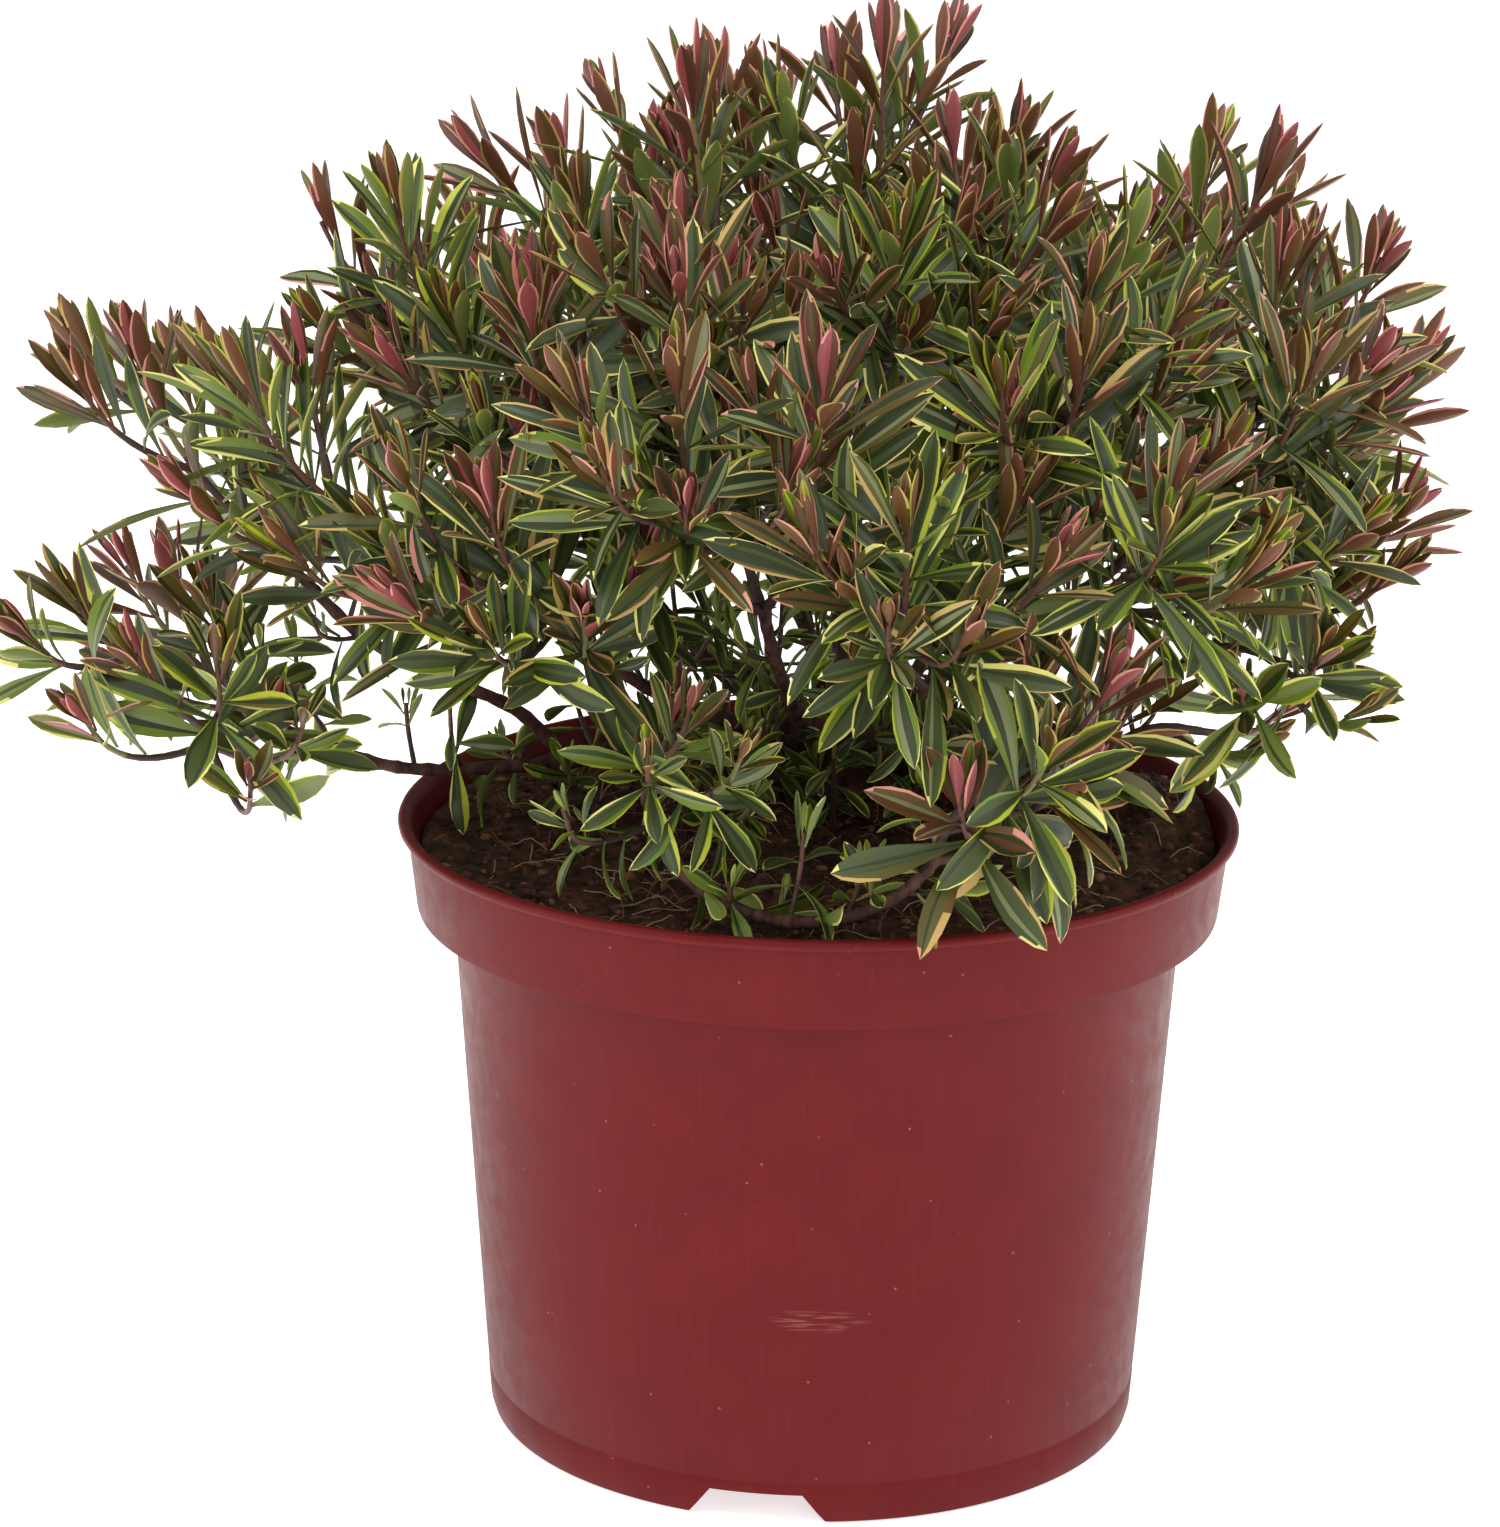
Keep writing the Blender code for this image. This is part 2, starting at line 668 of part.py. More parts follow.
def grow_shoots(name, axis, neighbours, rng):
    """The leading shoot and the side shoots of a mass, by a seeded rule."""
    wanted = MASSES[name][4]
    leader = Twig(axis, rng.uniform(0, 90))
    shoots = [leader]
    outward = Vector((axis[-1].x, axis[-1].y, 0)).normalized()
    roll = rng.uniform(0, 360)
    tries = 0
    while len(shoots) <= wanted and tries < SHOOT_TRIES:
        share = FIRST_SHOOT + SHOOT_SPAN * ((len(shoots) - 0.5) / wanted)
        place, direction, reference = leader.at(share)
        roll += GOLDEN_ANGLE
        tries += 1
        side = turned(direction, reference, roll)
        out = direction * SHOOT_FORWARD + side + UP * SHOOT_UPWARD + outward * SHOOT_OUTWARD
        out.normalize()
        length = (SHOOT_LENGTH + SHOOT_SHARE * (1 - share) * leader.length) * rng.uniform(0.85, 1.1)
        length *= SHOOT_TRIMS[min(tries // SHOOT_PATIENCE, len(SHOOT_TRIMS) - 1)]
        end = place + out * length
        roomy = inside_crown(end + out * SHOOT_LEAF_ROOM)
        if roomy and neighbours.keeps_clear(name, [place.lerp(end, 0.5), end]):
            shoots.append(Twig([place, end], rng.uniform(0, 90)))
    return shoots


def leaf_frame(direction, side, lean):
    """A leaf's own direction and the direction its upper face looks."""
    angle = math.radians(lean)
    along = direction * math.cos(angle) + side * math.sin(angle)
    face = direction * math.sin(angle) - side * math.cos(angle)
    return along.normalized(), face.normalized()


def leaf_points(root, along, face, length, width):
    """The seven corners of a folded leaf: root, widest part and tip."""
    across = along.cross(face).normalized()
    corners = []
    for share, scale in ((0.0, LEAF_ROOT_SHARE), (LEAF_WIDEST, 1.0)):
        middle = root + along * length * share
        rim = face * LEAF_THICKNESS * 0.5 * scale
        corners.append(middle - across * width * 0.5 * scale + rim)
        corners.append(middle + across * width * 0.5 * scale + rim)
        corners.append(middle - rim)
    corners.append(root + along * length + face * LEAF_THICKNESS)
    return corners


def leaf_mesh(corners):
    """A closed leaf from its seven corners."""
    mesh = bpy.data.meshes.new("leaf")
    mesh.from_pydata([corner * MM for corner in corners], [], LEAF_FACES)
    return mesh


def touches_any(corners, others):
    """True when a leaf, but for its root, cuts one of the other trees of faces."""
    trimmed = list(corners)
    for index in range(3):
        trimmed[index] = corners[index].lerp(corners[index + 3], ROOT_SPARED)
    tree = BVHTree.FromPolygons(trimmed, LEAF_FACES)
    return any(tree.overlap(other) for other in others)


def grow_leaves(name, shoots, neighbours, rng):
    """Crossed pairs of leaves up every shoot, smaller and steeper at its end."""
    leaves = []
    taken = []
    for number, twig in enumerate(shoots):
        bare = BARE_LEADER if number == 0 else BARE_SHOOT
        count = max(2, round(twig.length * (1 - bare) / PAIR_SPACING))
        for pair in range(count + 1):
            grown = pair / count
            place, direction, reference = twig.at(bare + (LAST_PAIR - bare) * grown)
            lean = LEAN_LOW - LEAN_GAIN * grown ** 1.5
            size = 1.0 - (1.0 - LEAF_TIP_SHARE) * grown ** 2
            for turn in (0, 180):
                side = turned(direction, reference, 90 * (pair % 2) + turn)
                along, face = leaf_frame(direction, side, lean + rng.uniform(-LEAN_SPREAD, LEAN_SPREAD))
                length = LEAF_LENGTH * size * rng.uniform(0.92, 1.06)
                width = LEAF_WIDTH * (0.35 + 0.65 * size)
                root = place + side * LEAF_ROOT_OFFSET
                for trim in LEAF_TRIMS:
                    corners = leaf_points(root, along, face, length * trim, width * trim)
                    if leaf_fits(name, corners, neighbours, taken):
                        leaves.append(corners)
                        taken.append(BVHTree.FromPolygons(corners, LEAF_FACES))
                        break
    return leaves


def leaf_fits(name, corners, neighbours, taken):
    """True when a leaf keeps to its mass's space and cuts no other leaf."""
    root = (corners[0] + corners[1]) / 2
    tested = corners[3:] + [root.lerp(corners[6], 0.3), root.lerp(corners[6], 0.8)]
    if not inside_crown(corners[6]) or not neighbours.keeps_clear(name, tested):
        return False
    return not touches_any(corners, taken)


def twig_mesh(twig, start_radius, end_radius, first=None):
    """A closed square tapering twig, its foot cut square to `first` if given."""
    shape = bmesh.new()
    rings = []
    last = len(twig.line) - 1
    for index, place in enumerate(twig.line):
        direction = twig.directions[index]
        reference = twig.references[index]
        if index == 0 and first is not None:
            direction = first
            reference = (reference - direction * reference.dot(direction)).normalized()
        radius = start_radius + (end_radius - start_radius) * index / last
        ring = []
        for corner in range(TWIG_SIDES):
            side = turned(direction, reference, 45 + 90 * corner)
            ring.append(shape.verts.new((place + side * radius) * MM))
        rings.append(ring)
    shape.faces.new(rings[0])
    shape.faces.new(list(reversed(rings[-1])))
    for lower, upper in zip(rings, rings[1:]):
        for corner in range(TWIG_SIDES):
            following = (corner + 1) % TWIG_SIDES
            shape.faces.new((lower[corner], upper[corner], upper[following], lower[following]))
    bmesh.ops.recalc_face_normals(shape, faces=shape.faces)
    mesh = bpy.data.meshes.new("twig")
    shape.to_mesh(mesh)
    shape.free()
    return mesh


def keep_largest_body(mesh):
    """Drop every loose scrap and sealed hollow, and keep the one main body."""
    shape = bmesh.new()
    shape.from_mesh(mesh)
    unseen = set(shape.faces)
    bodies = []
    while unseen:
        body = []
        queue = [unseen.pop()]
        while queue:
            face = queue.pop()
            body.append(face)
            for edge in face.edges:
                for neighbour in edge.link_faces:
                    if neighbour in unseen:
                        unseen.remove(neighbour)
                        queue.append(neighbour)
        bodies.append(body)
    bodies.sort(key=len)
    scraps = [face for body in bodies[:-1] for face in body]
    bmesh.ops.delete(shape, geom=scraps, context="FACES")
    shape.to_mesh(mesh)
    shape.free()
    return len(bodies) - 1


def build_mass(name, axis, foot, neighbours, number, collection, material):
    """One foliage mass: twig, side shoots and leaves joined into one body."""
    rng = random.Random(1000 + number)
    shoots = grow_shoots(name, axis, neighbours, rng)
    leaves = grow_leaves(name, shoots, neighbours, rng)
    twig = twig_mesh(shoots[0], TWIG_RADIUS, SHOOT_TIP_RADIUS, foot)
    mass = add_object(name, twig, collection, material)
    pieces = bpy.data.collections.new("pieces")
    for shoot in shoots[1:]:
        add_object("shoot", twig_mesh(shoot, SHOOT_RADIUS, SHOOT_TIP_RADIUS), pieces, None)
    for corners in leaves:
        add_object("leaf", leaf_mesh(corners), pieces, None)
    join = mass.modifiers.new("join", "BOOLEAN")
    join.operation = "UNION"
    join.operand_type = "COLLECTION"
    join.solver = "EXACT"
    join.collection = pieces
    bpy.context.view_layer.update()
    joined = bpy.data.meshes.new_from_object(mass.evaluated_get(bpy.context.evaluated_depsgraph_get()))
    mass.modifiers.clear()
    mass.data = joined
    joined.name = name
    dropped = keep_largest_body(joined)
    for piece in list(pieces.objects):
        bpy.data.objects.remove(piece)
    bpy.data.collections.remove(pieces)
    faces = sum(len(polygon.vertices) - 2 for polygon in joined.polygons)
    print(f"{name}: {len(shoots)} shoots, {len(leaves)} leaves, {faces} triangles, {dropped} dropped")
    return len(leaves), faces


def main():
    for thing in list(bpy.data.objects):
        bpy.data.objects.remove(thing)
    parts = bpy.data.collections.new("hebe_in_pot")
    cutters = bpy.data.collections.new("cutters")
    bpy.context.scene.collection.children.link(parts)
    bpy.context.scene.collection.children.link(cutters)

    plastic = make_material("pot_plastic", POT_RED, 0.45)
    peat = make_material("peat", SOIL_BROWN, 0.95)
    bark = make_material("bark", BARK, 0.8)
    leaf = make_material("leaf", LEAF_GREEN, 0.5)

    build_pot(parts, cutters, plastic)
    build_soil(parts, peat)
    build_stem(parts, bark)
    paths, radii = limb_lines()
    for name, path in paths.items():
        build_limb(name, path, radii[name], parts, bark)
    axes, feet = mass_axes(paths)
    neighbours = Neighbours(axes, paths, radii)
    leaves = 0
    faces = 0
    for number, (name, axis) in enumerate(axes.items()):
        mass_leaves, mass_faces = build_mass(name, axis, feet[name], neighbours, number, parts, leaf)
        leaves += mass_leaves
        faces += mass_faces
    print(f"{len(MASSES)} masses, {leaves} leaves, {faces} foliage triangles")


main()
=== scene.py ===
# %% [markdown]
# # A variegated hebe in its red nursery pot
#
# This lesson dresses a measured model of a small evergreen shrub. The model gives
# every piece its place and size. Here each piece gets its real surface: bark with
# relief, two-coloured leaves, crumbly peat and a satin plastic pot. Lengths in the
# tables are in millimetres, and Blender works in metres.

# %% Load the measured frame
import math
import random

import bpy
import numpy as np
from mathutils import Matrix, Vector, noise


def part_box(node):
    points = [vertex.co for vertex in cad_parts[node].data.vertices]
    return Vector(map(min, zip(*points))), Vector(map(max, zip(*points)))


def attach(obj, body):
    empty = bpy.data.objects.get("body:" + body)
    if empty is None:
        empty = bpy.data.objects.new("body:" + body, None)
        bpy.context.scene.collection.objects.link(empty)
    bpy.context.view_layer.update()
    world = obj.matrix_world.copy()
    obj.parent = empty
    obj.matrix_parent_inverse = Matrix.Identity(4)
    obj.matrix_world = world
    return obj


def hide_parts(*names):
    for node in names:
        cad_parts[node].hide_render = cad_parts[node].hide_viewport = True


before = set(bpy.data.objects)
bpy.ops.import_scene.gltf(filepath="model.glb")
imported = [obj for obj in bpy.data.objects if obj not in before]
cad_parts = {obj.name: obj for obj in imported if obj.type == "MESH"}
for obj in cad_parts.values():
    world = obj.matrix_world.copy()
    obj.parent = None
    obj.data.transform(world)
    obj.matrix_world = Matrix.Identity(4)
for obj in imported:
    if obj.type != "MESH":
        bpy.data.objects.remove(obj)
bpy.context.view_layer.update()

MM = 0.001
UP = Vector((0.0, 0.0, 1.0))

# %% [markdown]
# ## Small helpers
#
# An operator works on everything that is selected, so each step starts with an
# empty selection. A finished piece rides on the body and stands for the plain
# solids that it covers, which are hidden.

# %% Helpers for selecting and dressing


def clear_selection():
    """Leave nothing selected, so that the next operator sees only its own object."""
    bpy.ops.object.select_all(action="DESELECT")


def activate(piece):
    """Select one object alone and make it the active one."""
    clear_selection()
    piece.select_set(True)
    bpy.context.view_layer.objects.active = piece


def triangles(piece):
    """How many triangles a mesh object has."""
    return sum(len(face.vertices) - 2 for face in piece.data.polygons)


def dress(piece, slot, *nodes):
    """Let a piece ride with the plant and hide what it covers. The slot is not used."""
    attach(piece, "root")
    if nodes:
        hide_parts(*nodes)
    print(piece.name, triangles(piece), "triangles, for", len(nodes), "nodes")
    return piece


def apply_modifiers(piece):
    """Apply every modifier in order."""
    activate(piece)
    for modifier in list(piece.modifiers):
        bpy.ops.object.modifier_apply(modifier=modifier.name)


# %% [markdown]
# ## Camera
#
# The camera stands where the photographer stood, about a metre in front and a
# little above the crown, and looks down on the pot. A long lens keeps the pot's
# sides almost straight. The pot's ellipses at the lip and the foot fix its place.

# %% Place the camera
CAMERA_PLACE = (0.0, -1007.8, 432.5)
CAMERA_TURN = 0.793
CAMERA_DOWN = 16.361
CAMERA_ROLL = 0.606
CAMERA_LENS = 122.61

bpy.ops.object.camera_add(location=Vector(CAMERA_PLACE) * MM)
camera = bpy.context.object
camera.name = "photo_camera"
camera.data.lens = CAMERA_LENS
turn = Matrix.Rotation(math.radians(CAMERA_TURN), 4, "Z")
tilt = Matrix.Rotation(math.radians(90 - CAMERA_DOWN), 4, "X")
roll = Matrix.Rotation(math.radians(CAMERA_ROLL), 4, "Z")
camera.rotation_euler = (turn @ tilt @ roll).to_euler()
bpy.context.scene.camera = camera
print("camera looks along", tuple(round(value, 3) for value in (turn @ tilt @ roll).col[2][:3]))

# %% [markdown]
# ## Floor and studio light
#
# A shrub photographed for a catalogue stands in a light tent: big soft panels at
# both sides, above and in front, and white all round. The two side panels give the
# plastic pot its pale edges. The floor is plain and pale, and glows a little, as the
# lit paper of such a tent does, so that it stays white right to the back.

# %% Add the floor and the lights
FLOOR_SIZE = 12.0
FLOOR_DROP = 0.0001
WORLD_LIGHT = 0.34
FLOOR_GLOW = 0.68
PANELS = {
    "panel_left": ((-1.35, -0.35, 0.75), 1.1, 9.5),
    "panel_right": ((1.35, -0.25, 0.75), 1.1, 8.5),
    "panel_top": ((-0.1, -0.35, 1.7), 1.5, 25.0),
    "panel_front": ((0.35, -1.9, 1.15), 0.9, 10.0),
}
AIM = Vector((0.0, 0.0, 0.16))

bpy.context.scene.view_settings.view_transform = "Standard"
bpy.ops.mesh.primitive_plane_add(size=FLOOR_SIZE, location=(0.0, 0.0, -FLOOR_DROP))
floor = bpy.context.object
floor.name = "floor"
floor_paint = bpy.data.materials.new("pale_floor")
floor_paint.use_nodes = True
floor_shader = floor_paint.node_tree.nodes["Principled BSDF"]
floor_shader.inputs["Base Color"].default_value = (0.93, 0.93, 0.93, 1.0)
floor_shader.inputs["Roughness"].default_value = 0.9
floor_shader.inputs["Specular IOR Level"].default_value = 0.1
floor_shader.inputs["Emission Color"].default_value = (1.0, 1.0, 1.0, 1.0)
floor_shader.inputs["Emission Strength"].default_value = FLOOR_GLOW
floor.data.materials.append(floor_paint)

world = bpy.data.worlds.new("light_tent")
world.use_nodes = True
world.node_tree.nodes["Background"].inputs["Color"].default_value = (1.0, 0.99, 0.98, 1.0)
world.node_tree.nodes["Background"].inputs["Strength"].default_value = WORLD_LIGHT
bpy.context.scene.world = world

for name, (place, size, power) in PANELS.items():
    bpy.ops.object.light_add(type="AREA", location=place)
    panel = bpy.context.object
    panel.name = name
    panel.data.shape = "SQUARE"
    panel.data.size = size
    panel.data.energy = power
    panel.rotation_euler = (AIM - Vector(place)).to_track_quat("-Z", "Y").to_euler()
print(len(PANELS), "panels and a white surround")

# %% [markdown]
# ## Shader groups
#
# Some effects are needed in several finishes: a mottled colour, fine grain in the
# roughness and small bumps. Each is built once as a node group with named inputs,
# and placed in each material with its own values. The groups only put out colours,
# values and normals, and the shader itself stays in the material.

# %% Helpers for shader groups


def srgb(red, green, blue):
    """A colour given as screen values from 0 to 255, as Blender's linear colour."""
    linear = []
    for value in (red, green, blue):
        share = value / 255
        linear.append(share / 12.92 if share <= 0.04045 else ((share + 0.055) / 1.055) ** 2.4)
    return (*linear, 1.0)


def add_node(tree, kind, **inputs):
    """A new shader node in a tree, with its inputs set by name."""
    node = tree.nodes.new("ShaderNode" + kind)
    for name, value in inputs.items():
        node.inputs[name.replace("_", " ")].default_value = value
    return node


def new_group(name, inputs, outputs):
    """An empty shader group with the sockets that it needs."""
    group = bpy.data.node_groups.new(name, "ShaderNodeTree")
    for socket, (kind, value) in inputs.items():
        made = group.interface.new_socket(socket, in_out="INPUT", socket_type=kind)
        made.default_value = value
    for socket, kind in outputs.items():
        group.interface.new_socket(socket, in_out="OUTPUT", socket_type=kind)
    return group, group.nodes.new("NodeGroupInput"), group.nodes.new("NodeGroupOutput")


FLOAT = "NodeSocketFloat"
COLOUR = "NodeSocketColor"
VECTOR = "NodeSocketVector"
print("middle grey is", [round(value, 3) for value in srgb(128, 128, 128)], "in linear light")

# %% Build the mottle group
mottle, ins, outs = new_group(
    "Mottle",
    {
        "Place": (VECTOR, (0.0, 0.0, 0.0)),
        "Scale": (FLOAT, 200.0),
        "Low": (COLOUR, (0.1, 0.1, 0.1, 1.0)),
        "High": (COLOUR, (0.2, 0.2, 0.2, 1.0)),
        "Contrast": (FLOAT, 0.15),
    },
    {"Color": COLOUR},
)
cloud = add_node(mottle, "TexNoise", Detail=5.0, Roughness=0.6)
lower_edge = add_node(mottle, "Math", Value=0.5)
lower_edge.operation = "SUBTRACT"
upper_edge = add_node(mottle, "Math", Value=0.5)
upper_edge.operation = "ADD"
spread = add_node(mottle, "MapRange")
spread.interpolation_type = "SMOOTHSTEP"
blend = add_node(mottle, "Mix")
blend.data_type = "RGBA"
link = mottle.links.new
link(ins.outputs["Place"], cloud.inputs["Vector"])
link(ins.outputs["Scale"], cloud.inputs["Scale"])
link(ins.outputs["Contrast"], lower_edge.inputs[1])
link(ins.outputs["Contrast"], upper_edge.inputs[1])
link(cloud.outputs["Fac"], spread.inputs["Value"])
link(lower_edge.outputs[0], spread.inputs["From Min"])
link(upper_edge.outputs[0], spread.inputs["From Max"])
link(spread.outputs["Result"], blend.inputs["Factor"])
link(ins.outputs["Low"], blend.inputs["A"])
link(ins.outputs["High"], blend.inputs["B"])
link(blend.outputs["Result"], outs.inputs["Color"])
print("mottle group:", len(mottle.nodes), "nodes")

# %% Build the grain group
grain, ins, outs = new_group(
    "Grain",
    {
        "Place": (VECTOR, (0.0, 0.0, 0.0)),
        "Scale": (FLOAT, 400.0),
        "Smooth": (FLOAT, 0.4),
        "Rough": (FLOAT, 0.6),
        "Depth": (FLOAT, 0.2),
        "Distance": (FLOAT, 0.0005),
    },
    {"Roughness": FLOAT, "Normal": VECTOR},
)
cloud = add_node(grain, "TexNoise", Detail=4.0)
spread = add_node(grain, "MapRange", From_Min=0.3, From_Max=0.7)
bump = add_node(grain, "Bump")
link = grain.links.new
link(ins.outputs["Place"], cloud.inputs["Vector"])
link(ins.outputs["Scale"], cloud.inputs["Scale"])
link(cloud.outputs["Fac"], spread.inputs["Value"])
link(ins.outputs["Smooth"], spread.inputs["To Min"])
link(ins.outputs["Rough"], spread.inputs["To Max"])
link(ins.outputs["Depth"], bump.inputs["Strength"])
link(ins.outputs["Distance"], bump.inputs["Distance"])
link(cloud.outputs["Fac"], bump.inputs["Height"])
link(spread.outputs["Result"], outs.inputs["Roughness"])
link(bump.outputs["Normal"], outs.inputs["Normal"])
print("grain group:", len(grain.nodes), "nodes")

# %% [markdown]
# ## Helpers for materials
#
# Every finish starts from the same pattern: coordinates, stretched where the real
# pattern is stretched, feed the groups, and the groups feed the shader. Most
# finishes read object coordinates. The leaves read an attribute instead, because
# their grooves run along each blade, whichever way it points.

# %% Material helpers


def new_finish(name, stretch=(1.0, 1.0, 1.0), attribute=None):
    """A material, its shader, and a stretched object or attribute coordinate to read."""
    material = bpy.data.materials.new(name)
    material.use_nodes = True
    tree = material.node_tree
    if attribute:
        reader = add_node(tree, "Attribute")
        reader.attribute_name = attribute
        source = reader.outputs["Vector"]
    else:
        source = add_node(tree, "TexCoord").outputs["Object"]
    mapping = add_node(tree, "Mapping", Scale=stretch)
    tree.links.new(source, mapping.inputs["Vector"])
    return material, tree.nodes["Principled BSDF"], mapping.outputs["Vector"]


def add_group(material, group, place, **values):
    """Put a shader group in a material and set its inputs by name."""
    node = add_node(material.node_tree, "Group")
    node.node_tree = group
    material.node_tree.links.new(place, node.inputs["Place"])
    for name, value in values.items():
        node.inputs[name].default_value = value
    return node


def grainy(material, shader, place, **values):
    """Let fine grain drive a finish's roughness and bumps."""
    node = add_group(material, grain, place, **values)
    material.node_tree.links.new(node.outputs["Roughness"], shader.inputs["Roughness"])
    material.node_tree.links.new(node.outputs["Normal"], shader.inputs["Normal"])


print("groups to build finishes from:", mottle.name, grain.name)

# %% [markdown]
# ## The pot
#
# A nursery pot is blown or pressed from thin coloured plastic: a tapering cup with
# a deep collar and a rolled lip, and three drain channels under its floor. It could
# be spun from a profile. Here a disc is pulled up ring by ring instead, because
# each pull is one height and one radius, just as the pot would be measured.

# %% Measure the pot
POT_SIDES = 180
POT_HEIGHT = 127.0
LIP_RADIUS = 85.0
LIP_ROLL = 1.2
COLLAR_FOOT = 108.0
COLLAR_TOP_RADIUS = 83.1
COLLAR_BOTTOM_RADIUS = 81.3
BODY_TOP_RADIUS = 73.9
BASE_RADIUS = 66.0
WALL = 1.6
FLOOR_TOP = 8.3
SEAM_HEIGHT = 8.5
SEAM_DEPTH = 0.16
LIP_STEPS = 6
LIP_START = -60
LIP_SWEEP = 200
FOOT_TOP = 2.2
FOOT_BULGE = 0.6


def body_radius(height):
    """Outer radius of the pot's body at a height."""
    share = (height - FOOT_TOP) / (COLLAR_FOOT - FOOT_TOP)
    return BASE_RADIUS + FOOT_BULGE + (BODY_TOP_RADIUS - BASE_RADIUS - FOOT_BULGE) * share


def lip_ring(step):
    """Height and radius of one ring round the rolled lip, from below to inside."""
    angle = math.radians(LIP_START + LIP_SWEEP * step / LIP_STEPS)
    radius = LIP_RADIUS - LIP_ROLL + LIP_ROLL * math.cos(angle)
    return POT_HEIGHT - LIP_ROLL + LIP_ROLL * math.sin(angle), radius


POT_RINGS = [
    (0.0, BASE_RADIUS - 0.8),
    (0.5, BASE_RADIUS + 0.1),
    (FOOT_TOP, body_radius(FOOT_TOP)),
    (SEAM_HEIGHT - 0.5, body_radius(SEAM_HEIGHT)),
    (SEAM_HEIGHT - 0.2, body_radius(SEAM_HEIGHT) - SEAM_DEPTH),
    (SEAM_HEIGHT + 0.2, body_radius(SEAM_HEIGHT) - SEAM_DEPTH),
    (SEAM_HEIGHT + 0.5, body_radius(SEAM_HEIGHT)),
    (40.0, body_radius(40.0)),
    (75.0, body_radius(75.0)),
    (COLLAR_FOOT - 1.8, body_radius(COLLAR_FOOT - 1.8)),
    (COLLAR_FOOT - 0.6, BODY_TOP_RADIUS + 0.3),
    (COLLAR_FOOT, BODY_TOP_RADIUS + 1.3),
    (COLLAR_FOOT, COLLAR_BOTTOM_RADIUS - 0.8),
    (COLLAR_FOOT + 0.3, COLLAR_BOTTOM_RADIUS - 0.2),
    (COLLAR_FOOT + 1.0, COLLAR_BOTTOM_RADIUS),
    (POT_HEIGHT - 4.0, COLLAR_TOP_RADIUS - 0.15),
    (POT_HEIGHT - 2.6, COLLAR_TOP_RADIUS),
    *(lip_ring(step) for step in range(LIP_STEPS + 1)),
    (POT_HEIGHT - 2.4, COLLAR_TOP_RADIUS - WALL),
    (COLLAR_FOOT + WALL, COLLAR_BOTTOM_RADIUS - WALL),
    (COLLAR_FOOT + WALL, BODY_TOP_RADIUS - WALL),
    (FLOOR_TOP, BASE_RADIUS - WALL),
]
print("pot rings:", len(POT_RINGS), "from", POT_RINGS[0], "to", POT_RINGS[-1])

# %% Pull up the pot's wall


def pull_rings(rings):
    """Extrude the selected face or edge loop from ring to ring."""
    for (low, inner), (high, outer) in zip(rings, rings[1:]):
        rise = (high - low) * MM
        scale = outer / inner
        bpy.ops.mesh.extrude_region_move(TRANSFORM_OT_translate={"value": (0.0, 0.0, rise)})
        bpy.ops.transform.resize(value=(scale, scale, 1.0), center_override=(0.0, 0.0, 0.0))


def pulled_up(name, sides, rings):
    """A closed round piece: a disc at the first ring, pulled through the others."""
    height, radius = rings[0]
    clear_selection()
    bpy.ops.mesh.primitive_circle_add(
        vertices=sides, radius=radius * MM, location=(0.0, 0.0, height * MM), fill_type="NGON"
    )
    piece = bpy.context.object
    piece.name = name
    bpy.ops.object.transform_apply(location=True)
    bpy.ops.object.mode_set(mode="EDIT")
    bpy.ops.mesh.select_all(action="SELECT")
    pull_rings(rings)
    bpy.ops.mesh.select_all(action="SELECT")
    bpy.ops.mesh.normals_make_consistent(inside=False)
    bpy.ops.object.mode_set(mode="OBJECT")
    return piece


pot = pulled_up("pot_shell", POT_SIDES, POT_RINGS)
print("pot height:", round(pot.dimensions.z / MM, 1))

# %% [markdown]
# The three drain channels are cut with a Boolean. The cutter is a cube whose top is
# narrowed and whose bottom is widened, so that the channel's sides slope as a mould
# needs.

# %% Cut the drain channels
CHANNEL_HEIGHT = 6.3
CHANNEL_WIDTH_LOW = 28.0
CHANNEL_WIDTH_HIGH = 18.5
CHANNEL_INNER_RADIUS = 30.0
CHANNEL_OUTER_RADIUS = 76.0
CHANNEL_AZIMUTHS = (-9.0, 111.0, -129.0)


def channel_cutter(azimuth):
    """A bar with sloping sides that lies under the floor and points to an azimuth."""
    length = CHANNEL_OUTER_RADIUS - CHANNEL_INNER_RADIUS
    clear_selection()
    bpy.ops.mesh.primitive_cube_add(size=1.0)
    cutter = bpy.context.object
    cutter.scale = (CHANNEL_WIDTH_LOW * MM, length * MM, 2 * CHANNEL_HEIGHT * MM)
    cutter.location = (0.0, -(CHANNEL_INNER_RADIUS + length / 2) * MM, 0.0)
    bpy.ops.object.transform_apply(location=True, rotation=True, scale=True)
    taper = 1 - CHANNEL_WIDTH_HIGH / CHANNEL_WIDTH_LOW
    for vertex in cutter.data.vertices:
        vertex.co.x *= 1 - taper if vertex.co.z > 0 else 1 + taper
    cutter.rotation_euler.z = math.radians(azimuth)
    bpy.ops.object.transform_apply(location=True, rotation=True, scale=True)
    return cutter


for azimuth in CHANNEL_AZIMUTHS:
    cutter = channel_cutter(azimuth)
    cut = pot.modifiers.new("channel", "BOOLEAN")
    cut.operation = "DIFFERENCE"
    cut.object = cutter
    apply_modifiers(pot)
    bpy.data.objects.remove(cutter)
activate(pot)
bpy.ops.object.shade_smooth_by_angle(angle=math.radians(38))
print("pot with channels:", triangles(pot), "triangles")

